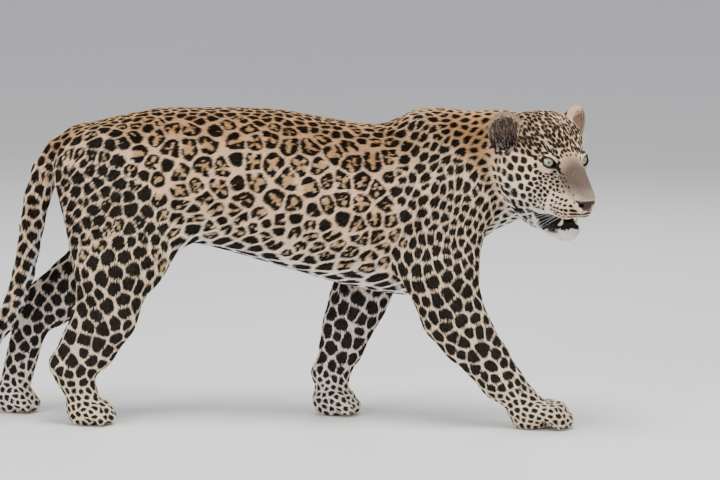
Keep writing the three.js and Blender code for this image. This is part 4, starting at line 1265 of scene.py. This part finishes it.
# Each row of spots on the pad, from front to back in a shallow arc: its ends, how many, and their half width.
PAD_ROWS = [
    ((72, 31, -62), (42, 42, -60), 4, 3.3), ((88, 26, -69), (44, 46, -72), 5, 3.6),
    ((92, 19, -79), (46, 47, -83), 6, 3.8), ((91, 11, -88), (48, 44, -92), 6, 3.5),
    ((86, 13, -96), (58, 40, -99), 4, 2.8),
]
for front, back, count, size in PAD_ROWS:
    for share in np.linspace(0, 1, count):
        middle = np.array(front) + share * (np.array(back) - front) + (0, 0, -2.0 * np.sin(np.pi * share))
        FACE_STROKES.append((middle, middle - (1.6, 0, 0), size, size))


def face_lines(place):
    """Distance to the face's own black: the lids' edges, the strokes, the cleft under the nose, the lips and
    the backs of the ears."""
    total = np.full(len(place.points), 30.0)
    near = np.flatnonzero(place.share["head"] > 0.3)
    own, eye, mouth = place.mirrored[near], place.eye[near], place.mouth[near]
    found = np.where(eye < 0, -2.0, np.abs(eye) - 4.0)
    # A stroke on the side of the face is drawn as seen from the side, so its depth hardly counts.
    sideways = np.array([1, 0.12, 1])
    for start, end, first, last in FACE_STROKES:
        start, end = np.array(start, float) * sideways, np.array(end, float) * sideways
        found = np.minimum(found, stroke(own * sideways, start, end, first, last))
    found = np.minimum(found, stroke(own * [0.3, 1, 1], (30, 0, -72), (27, 0, -100), 1.4, 1.0))
    found = np.minimum(found, np.where(mouth < 0.8, 6.0, mouth - 2.6))
    ear_back = (place.ear[near] < 4) & (place.cup[near] > 11.5)
    found = np.minimum(found, np.where(ear_back, -2.0, 6.0))
    total[near] = np.where(place.leather[near] < 1.2, 6.0, found)
    return total


def put_rows(piece, name, rows):
    """Keeps three numbers for each point of a mesh under this name, as a colour."""
    colours = np.concatenate([rows, np.ones((len(rows), 1))], 1).astype(np.float32)
    piece.data.attributes.new(name, "FLOAT_COLOR", "POINT").data.foreach_set("color", colours.ravel())


# The ink's distance is kept over this many millimetres, as a share from 0 to 1.
INK_SPAN = 40.0


def put_coat_values(piece, ground, ink, centre, bare, tip, streak):
    """Writes the coat's values on a mesh's points, which its material reads."""
    put_rows(piece, "ground", ground)
    put_rows(piece, "marks", np.clip(np.stack([ink / INK_SPAN + 0.5, centre, bare], 1), 0, 1))
    put_rows(piece, "strand", np.stack([tip, streak, 0 * tip], 1))


BLACK = (0.004, 0.0028, 0.0024)


def coat_material(name, strands):
    """Tan ground, darker inside the rings, and black where the ink's distance is below zero, its edge worn by
    noise. Strands are lighter to their tips; the skin has a bump of hairs, and of pores where it is bare."""
    shade = Shade(name)
    place = shade.place()
    ink, centre, bare = shade.channels("marks")
    tip, streak, _ = shade.channels("strand")
    fine = shade.node("TexNoise", Vector=place, Scale=420.0, Detail=2.0, Roughness=0.6)
    broad = shade.node("TexNoise", Vector=place, Scale=26.0, Detail=3.0, Roughness=0.55)
    worn = (ink - 0.5) * INK_SPAN + (fine - 0.5) * 1.8 * (1 - bare)
    black = worn.step(0.6, -0.8)
    ground = shade.colours(centre * 0.7, shade.attribute("ground"), ROSETTE_TAN)
    lit = 0.80 + broad * 0.34 + (streak - 0.5) * 0.30 * (1 - bare)
    colour = shade.colours(black * (1 - 0.04 * streak), shade.scaled(ground, lit), BLACK)
    rough = 0.74 - 0.36 * bare + 0.1 * fine
    if strands:
        colour = shade.scaled(colour, 0.94 + tip * 0.24)
        return shade.surface(Base_Color=colour, Roughness=rough, Specular_IOR_Level=0.10)
    grain = shade.node("Mapping", dict(vector_type="POINT"), Vector=place, Scale=(70.0, 380.0, 380.0))
    hair = shade.node("TexNoise", Vector=grain, Scale=1.0, Detail=3.0, Roughness=0.6)
    pores = shade.node("TexVoronoi", Vector=place, Scale=900.0)
    height = hair * (1 - bare) + pores * bare * 0.5
    normal = shade.bump(height, 0.0012, 0.7)
    return shade.surface(Base_Color=colour, Roughness=rough, Specular_IOR_Level=0.16, Normal=normal)


skin_material = coat_material("short_coat", False)
tuft_material = coat_material("coat_tufts", True)
skin_place = Place(skin_points, skin_normals)
skin_ink, skin_centre = markings(skin_place)
skin_bare = ramp(skin_place.leather, 1.0, -0.5) + ramp(skin_place.eye, 2.6, 1.2)
skin_bare = skin_bare + ramp(skin_place.mouth, 3.0, 1.5)
under_coat = skin_points - skin_normals * coat_depth(skin_place)[:, None]
skin = new_piece("skin", under_coat, skin_faces, skin_material)
put_coat_values(
    skin, ground_colour(skin_place), skin_ink, skin_centre, np.clip(skin_bare, 0, 1),
    np.zeros(len(skin_points)), np.full(len(skin_points), 0.5),
)
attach(skin, "root")
separate = ("eye_left", "eye_right", "lower_canine_left", "lower_canine_right", "tongue")
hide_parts(*[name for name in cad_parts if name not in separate])


# COAT. Short guard hairs in flat pointed tufts over the whole skin. Each is a thin closed wedge that lies
# along the coat, in the colour of the place where it shows. They are shortest on the face and feet, and longest
# on the belly, the cheeks, the chin and the tail.
def tuft_length(place):
    """Millimetres from root to tip."""
    z, own = place.points[:, 2], place.mirrored
    length = place.share["trunk"] * (10 + 16 * ramp(place.height, 0.20, 0.02)) + place.share["neck"] * 12
    length += place.share["tail"] * (11 + 6 * ramp(place.tail_at, 8, 13))
    length += place.legs * (6 + 4.5 * ramp(z, 60, 420) + 6 * place.inner * ramp(z, 200, 420))
    cheek = patch(own, (-96, 72, -92), (56, 46, 56))
    face = (4.4 + 3.5 * ramp(own[:, 0], -20, -90)) * (0.55 + 0.45 * ramp(place.eye, 2, 10))
    face += 9 * cheek + 12 * place.chin
    face *= 1 - 0.45 * patch(own, (70, 30, -80), (40, 32, 32))
    face += 10 * ramp(place.cup, 3.5, 1.5) + 3.5 * (place.ear < 4) * (place.cup > 3)
    return length + place.share["head"] * face


# Each leg's own line from foot to hip or shoulder: level, ahead and side.
LEG_LINES = {
    "front_right": [
        (40, 420, -82), (104, 316, -84), (200, 241, -92), (330, 184, -97), (500, 226, -82), (650, 128, -46),
    ],
    "front_left": [
        (40, -40, 82), (96, -66, 85), (200, -31, 92), (310, 12, 97), (500, 178, 84), (650, 128, 46),
    ],
    "hind_right": [(40, -580, -82), (120, -626, -86), (244, -555, -96), (372, -500, -96), (600, -560, -62)],
    "hind_left": [(40, -750, 82), (204, -738, 86), (288, -636, 96), (372, -524, 96), (600, -566, 62)],
}
CHART_COLUMNS, CHART_ROWS, CHART_EDGE = 4, 2, 0.04


def chart(place):
    """Each place on an unwrap of the body: every part is rolled flat in its own rectangle, one side of which
    is the share along the part and the other the angle round it."""
    x, y, z = place.points.T
    along, across = {}, {}
    along["trunk"] = (x + 700) / 1000
    across["trunk"] = np.arctan2(y, z - np.interp(x, trunk_line[:, 0], trunk_line[:, 1:3].sum(1) / 2))
    along["neck"] = (x - 80) / 420
    across["neck"] = np.arctan2(y + 30, z - 570)
    for name, joints in LEG_LINES.items():
        level, ahead, side = np.array(joints, float).T
        across[name] = np.arctan2(y - np.interp(z, level, side), x - np.interp(z, level, ahead))
        along[name] = z / 680 + (x - np.interp(z, level, ahead)) / 2600
    along["tail"] = place.tail_at / len(tail_line)
    beside = np.interp(place.tail_at, np.arange(len(tail_line)), tail_line[:, 0])
    rise = np.interp(place.tail_at, np.arange(len(tail_line)), tail_line[:, 2])
    out = (x - beside) * place.tail_way[:, 2] - (z - rise) * place.tail_way[:, 0]
    across["tail"] = np.arctan2(y - TAIL_SIDE, out)
    along["head"] = (place.own[:, 0] + 200) / 340
    across["head"] = np.arctan2(place.own[:, 1], place.own[:, 2] + 40)
    part = strongest_part(place.share)
    u = np.choose(part, [along[name] for name in part_names])
    v = np.choose(part, [across[name] for name in part_names]) / (2 * np.pi) + 0.5
    inside = CHART_EDGE + (1 - 2 * CHART_EDGE) * np.clip([u, v], 0, 1)
    column, row = part % CHART_COLUMNS, part // CHART_COLUMNS
    return np.stack([(column + inside[0]) / CHART_COLUMNS, (row + inside[1]) / CHART_ROWS], 1)


# A tuft's four faces on its two root corners, its tip and its ridge, and its patch on the unwrap.
TUFT_FACES = np.array([(0, 2, 1), (0, 1, 3), (1, 2, 3), (2, 0, 3)])
TUFT_PATCH = np.array([(-0.5, -0.5), (0.5, -0.5), (0.0, 0.5), (0.0, -0.15)]) * 0.003
EAR_STRAND = (0.42, 0.34, 0.27)


def coat_piece(name, chosen_faces, count, seed):
    """Tufts strewn at random on these triangles. Each has a root edge, a tip laid back on to the coat's
    surface and a ridge between them, and is turned a little from the lie."""
    random = np.random.default_rng(seed)
    roots, chosen = spread_over(skin_points, chosen_faces, count, random)
    normals = unit(skin_normals[chosen_faces[chosen]].mean(1))
    place = Place(roots, normals)
    bare = ramp(place.leather, 2.2, 1.0) + ramp(place.eye, 2.4, 1.4) + ramp(place.mouth, 4.5, 3.0)
    keep = (bare < 0.5) & (roots[:, 2] > 2.5) & (place.cup > -2)
    roots, normals = roots[keep], normals[keep]
    place = Place(roots, normals)
    count = len(roots)
    ways, depth = lie(place), coat_depth(place)[:, None]
    ways, across = swung(ways, np.cross(normals, ways), random.normal(0, 0.16, count)[:, None])
    length = (tuft_length(place) * random.uniform(0.72, 1.25, count))[:, None]
    width = np.clip(0.07 * length + 0.35, 0.5, 1.6)
    lift = (0.25 + 0.028 * length) * random.uniform(0.3, 1.5, count)[:, None]
    lift = lift * (1 + 2.6 * place.chin[:, None])
    # The place that was drawn at random is where the tuft shows, a little short of its tip.
    base = roots - ways * 0.6 * length - normals * (depth + 0.25)
    tip = onto_surface(roots + ways * 0.4 * length, 1, 12.0) + normals * lift
    ridge = base + 0.42 * (tip - base) + normals * (0.55 * width + 0.25 * depth)
    points = np.stack([base - across * width, base + across * width, tip, ridge], 1).reshape(-1, 3)
    faces = (np.arange(count)[:, None, None] * 4 + TUFT_FACES).reshape(-1, 3)
    tufts = new_piece(name, points, faces, tuft_material, False)
    ink, centre = markings(place)
    streak = random.random(count)
    ground = mix(ground_colour(place), EAR_STRAND, 0.8 * ramp(place.cup, 4, 2) * (streak > 0.8))
    spread = [np.repeat(values, 4, 0) for values in (ground, ink, centre, np.zeros(count))]
    put_coat_values(tufts, *spread, np.tile([0, 0, 1.0, 0.4], count), np.repeat(streak, 4))
    spots = (chart(place)[:, None, :] + TUFT_PATCH).reshape(-1, 2)[faces.ravel()]
    tufts.data.uv_layers.new(name="OFBake").data.foreach_set("uv", spots.astype(np.float32).ravel())
    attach(tufts, "root")


face_middles = skin_points[skin_faces].mean(1)
strongest = strongest_part(part_shares(face_middles))
ahead_of_ears = in_head(face_middles)[:, 0] > -62
right_side = face_middles[:, 1] < 0
in_front = face_middles[:, 0] > -190
head, neck, trunk, tail, front_right, front_left, hind_right, hind_left = (
    strongest == part_names.index(name)
    for name in ("head", "neck", "trunk", "tail", "front_right", "front_left", "hind_right", "hind_left")
)
COAT_PIECES = [
    ("coat_face", head & ahead_of_ears, 46000),
    ("coat_crown_and_ears", head & ~ahead_of_ears, 32000),
    ("coat_neck", neck, 30000),
    ("coat_shoulder_right", trunk & right_side & in_front, 34000),
    ("coat_shoulder_left", trunk & ~right_side & in_front, 34000),
    ("coat_flank_right", trunk & right_side & ~in_front, 40000),
    ("coat_flank_left", trunk & ~right_side & ~in_front, 40000),
    ("coat_front_leg_right", front_right, 27000),
    ("coat_front_leg_left", front_left, 24000),
    ("coat_hind_leg_right", hind_right, 27000),
    ("coat_hind_leg_left", hind_left, 25000),
    ("coat_tail", tail, 14000),
]
FIRST_COAT_SEED = 100
for number, (name, chosen_faces, count) in enumerate(COAT_PIECES):
    coat_piece(name, skin_faces[chosen_faces], count, FIRST_COAT_SEED + number)


# EYES. Each is a wet ball in its socket behind the lids, with its clear front standing a little proud. The
# iris is grey-green with fine streaks, round a small dark pupil, and has a dark ring about it.
def round_piece(name, middle, axes, radius_of, material, rings=40, sides=48):
    """A ball about its own first axis: the radius is a function of the angle from that axis."""
    polar = np.linspace(0, np.pi, rings + 1)[:, None]
    around = np.linspace(0, 2 * np.pi, sides, endpoint=False)[None, :]
    radius = radius_of(polar)
    own = np.stack([
        radius * np.cos(polar) + 0 * around, radius * np.sin(polar) * np.cos(around),
        radius * np.sin(polar) * np.sin(around),
    ], -1)
    inner = own[1:-1].reshape(-1, 3)
    points = np.concatenate([own[:1, 0], inner, own[-1:, 0]])
    ring, side = np.meshgrid(np.arange(rings - 2), np.arange(sides), indexing="ij")
    a, b = 1 + ring * sides + side, 1 + ring * sides + (side + 1) % sides
    c, d = a + sides, b + sides
    quads = np.stack([a, c, d, b], -1).reshape(-1, 4)
    ends = np.arange(sides)
    top = np.stack([0 * ends, 1 + ends, 1 + (ends + 1) % sides], 1)
    last = len(points) - 1
    below = 1 + (rings - 2) * sides
    bottom = np.stack([last + 0 * ends, below + (ends + 1) % sides, below + ends], 1)
    faces = np.concatenate([quads[:, [0, 1, 2]], quads[:, [0, 2, 3]], top, bottom])
    made = new_piece(name, from_head(middle + points @ axes), faces, material)
    angle = np.concatenate([[0], np.repeat(polar[1:-1, 0], sides), [np.pi]])
    put_rows(made, "gaze", np.repeat(angle[:, None] / np.pi, 3, 1))
    return made


def eye_radius(angle):
    """The ball's radius, which rises smoothly by the clear front's height towards the axis."""
    return EYE_RADIUS - 0.15 + 1.1 * ramp(angle, 0.72, 0.25)


eye_shade = Shade("wet_eye")
off_axis = eye_shade.channels("gaze")[0]
streaks = eye_shade.node("TexNoise", Vector=eye_shade.place(), Scale=620.0, Detail=3.0)
iris = eye_shade.node("ValToRGB", dict(stops=[
    (0.0, (0.002, 0.002, 0.002)), (0.046, (0.002, 0.002, 0.002)), (0.056, (0.30, 0.30, 0.17)),
    (0.14, (0.46, 0.49, 0.34)), (0.215, (0.36, 0.38, 0.26)), (0.240, (0.02, 0.016, 0.012)),
    (0.34, (0.16, 0.10, 0.08)),
]), Fac=off_axis)
eye_colour = eye_shade.colours(0.55 * streaks, iris, (0.9, 0.9, 0.8), "MULTIPLY")
eye_material = eye_shade.surface(Base_Color=eye_colour, Roughness=0.16, Coat_Weight=1.0, Coat_Roughness=0.02)
for name, side in (("eye_left", 1), ("eye_right", -1)):
    middle, axes = EYES[side]
    eye = round_piece(name + "_ball", middle, axes, eye_radius, eye_material)
    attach(eye, "root")
    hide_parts(name)


# TEETH. The two lower canines stand up behind the lower lip: ivory cones that bow forward, with a grain of
# yellower enamel.
def open_jaw(ahead, left, up):
    """A point of the closed jaw after its swing about the pivot."""
    return (np.array([ahead, left, up], float) - JAW_PIVOT) @ turned("y", JAW_OPEN).T + JAW_PIVOT


def tapered_tube(line, radii, sides=12):
    """Rings of the given radii about a line, square to its way at each point, and a point at both ends."""
    line, radii = np.asarray(line, float), np.asarray(radii, float)
    ways = unit(np.gradient(line, axis=0))
    side = unit(np.cross(ways, [0.05, 1.0, 0.1]))
    up = np.cross(ways, side)
    turn = np.linspace(0, 2 * np.pi, sides, endpoint=False)
    around = np.cos(turn)[None, :, None] * side[:, None] + np.sin(turn)[None, :, None] * up[:, None]
    rings = line[:, None] + radii[:, None, None] * around
    points = np.concatenate([rings.reshape(-1, 3), line[:1], line[-1:]])
    ring, at = np.meshgrid(np.arange(len(line) - 1), np.arange(sides), indexing="ij")
    a, b = ring * sides + at, ring * sides + (at + 1) % sides
    quads = np.stack([a, b, b + sides, a + sides], -1).reshape(-1, 4)
    ends = np.arange(sides)
    start = np.stack([len(points) - 2 + 0 * ends, (ends + 1) % sides, ends], 1)
    last = (len(line) - 1) * sides
    finish = np.stack([len(points) - 1 + 0 * ends, last + ends, last + (ends + 1) % sides], 1)
    return points, np.concatenate([quads[:, [0, 1, 2]], quads[:, [0, 2, 3]], start, finish])


tooth_shade = Shade("tooth_enamel")
tooth_grain = tooth_shade.node("TexNoise", Vector=tooth_shade.place(), Scale=260.0, Detail=3.0)
tooth_material = tooth_shade.surface(
    Base_Color=tooth_shade.colours(tooth_grain, (0.62, 0.47, 0.22), (0.80, 0.70, 0.46)),
    Roughness=0.28, Coat_Weight=0.5, Normal=tooth_shade.bump(tooth_grain, 0.0002, 0.4),
)
CANINE_ROOT, CANINE_TIP = (56, 18, -118), (61, 19, -95)
CANINE_RADIUS, CANINE_TIP_RADIUS, CANINE_BOW = 5.8, 0.35, 2.2
for name, side in (("lower_canine_left", 1), ("lower_canine_right", -1)):
    share = np.linspace(0, 1, 14)[:, None]
    root, tip = (open_jaw(a, side * b, c) for a, b, c in (CANINE_ROOT, CANINE_TIP))
    line = root + share * (tip - root) + np.sin(np.pi * share) * np.array([CANINE_BOW, 0, 0])
    points, faces = tapered_tube(line, CANINE_RADIUS * (1 - share[:, 0] ** 1.6) + CANINE_TIP_RADIUS)
    canine = new_piece(name + "_tooth", from_head(points), faces, tooth_material)
    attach(canine, "root")
    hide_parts(name)


# TONGUE. A broad flat muscle that lies between the teeth, moist and rough with small points, with a shallow
# groove along its middle.
tongue_shade = Shade("moist_tongue")
tongue_points = tongue_shade.node("TexVoronoi", Vector=tongue_shade.place(), Scale=620.0)
tongue_blush = tongue_shade.node("TexNoise", Vector=tongue_shade.place(), Scale=60.0, Detail=3.0)
tongue_material = tongue_shade.surface(
    Base_Color=tongue_shade.colours(tongue_blush, (0.20, 0.035, 0.035), (0.30, 0.075, 0.07)),
    Roughness=0.42, Coat_Weight=0.3, Normal=tongue_shade.bump(tongue_points, 0.0006, 0.6),
)
TONGUE_RADII, GROOVE_DEPTH, GROOVE_WIDTH = (36, 15, 6.0), 1.6, 3.5
tongue_middle = open_jaw(24, 0, -113)
tongue_way = unit(open_jaw(1, 0, 0) - open_jaw(0, 0, 0))
tongue_axes = np.stack([tongue_way, [0, 1, 0], np.cross(tongue_way, [0, 1, 0])])
tongue = round_piece("tongue_flesh", tongue_middle, tongue_axes, np.ones_like, tongue_material, 24, 32)
# The round ball of radius one is stretched to the tongue's own size and pressed in along its middle.
flat = np.empty(len(tongue.data.vertices) * 3, np.float32)
tongue.data.vertices.foreach_get("co", flat)
own = (in_head(flat.reshape(-1, 3) * 1000 - MIDDLE_MM) - tongue_middle) @ tongue_axes.T * TONGUE_RADII
own[:, 2] -= GROOVE_DEPTH * np.exp(-(own[:, 1] / GROOVE_WIDTH) ** 2) * (own[:, 2] > 0)
shaped = (from_head(tongue_middle + own @ tongue_axes) + MIDDLE_MM) / 1000
tongue.data.vertices.foreach_set("co", shaped.astype(np.float32).ravel())
tongue.data.update()
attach(tongue, "root")
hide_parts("tongue")


# WHISKERS. Stiff white bristles from the rows on the pads and from the brows, swept back along the face in
# curves whose bend grows with the square of the share of their length.
whisker_shade = Shade("whisker_bristle")
whisker_grain = whisker_shade.node("TexNoise", Vector=whisker_shade.place(), Scale=300.0)
whisker_material = whisker_shade.surface(
    Base_Color=whisker_shade.colours(whisker_grain, (0.80, 0.79, 0.76), (0.92, 0.91, 0.89)), Roughness=0.35,
)
WHISKER_RADIUS, WHISKER_SIDES, PAD_LINES, PAD_HAIRS, BROW_HAIRS = 0.3, 5, 4, 3, 3
bristles = np.random.default_rng(61)
share = np.linspace(0, 1, 9)[:, None]
for name, side in (("whiskers_left", 1), ("whiskers_right", -1)):
    hairs = []
    for row in range(PAD_LINES):
        for column in range(PAD_HAIRS):
            root = np.array([78 - 13 * column, side * 38.0, -66 - 10.0 * row])
            way = np.array([-0.35 - 0.2 * column, side * 0.75, -0.22 - 0.16 * row])
            way = unit(way + bristles.normal(0, 0.08, 3))
            hairs.append((root, way, (-0.55, -side * 0.30, -0.30), bristles.uniform(52, 92)))
    for hair in range(BROW_HAIRS):
        root = np.array([2 - 6.0 * hair, side * (36 + 4 * hair), 26.0])
        way = unit(np.array([-0.1, side * 0.35, 0.75]) + bristles.normal(0, 0.1, 3))
        hairs.append((root, way, (-0.6, side * 0.1, -0.1), bristles.uniform(26, 40)))
    tubes = []
    for root, way, bend, length in hairs:
        start = in_head(onto_surface(from_head(root[None, :]), 4, 12.0))[0]
        line = start - 1.5 * way + length * (share * way + 0.5 * share ** 2 * np.array(bend))
        tubes.append(tapered_tube(line, WHISKER_RADIUS * (1 - 0.85 * share[:, 0]), WHISKER_SIDES))
    points = np.concatenate([tube[0] for tube in tubes])
    faces = np.concatenate([tube[1] + number * len(tube[0]) for number, tube in enumerate(tubes)])
    whiskers = new_piece(name, from_head(points), faces, whisker_material)
    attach(whiskers, "root")
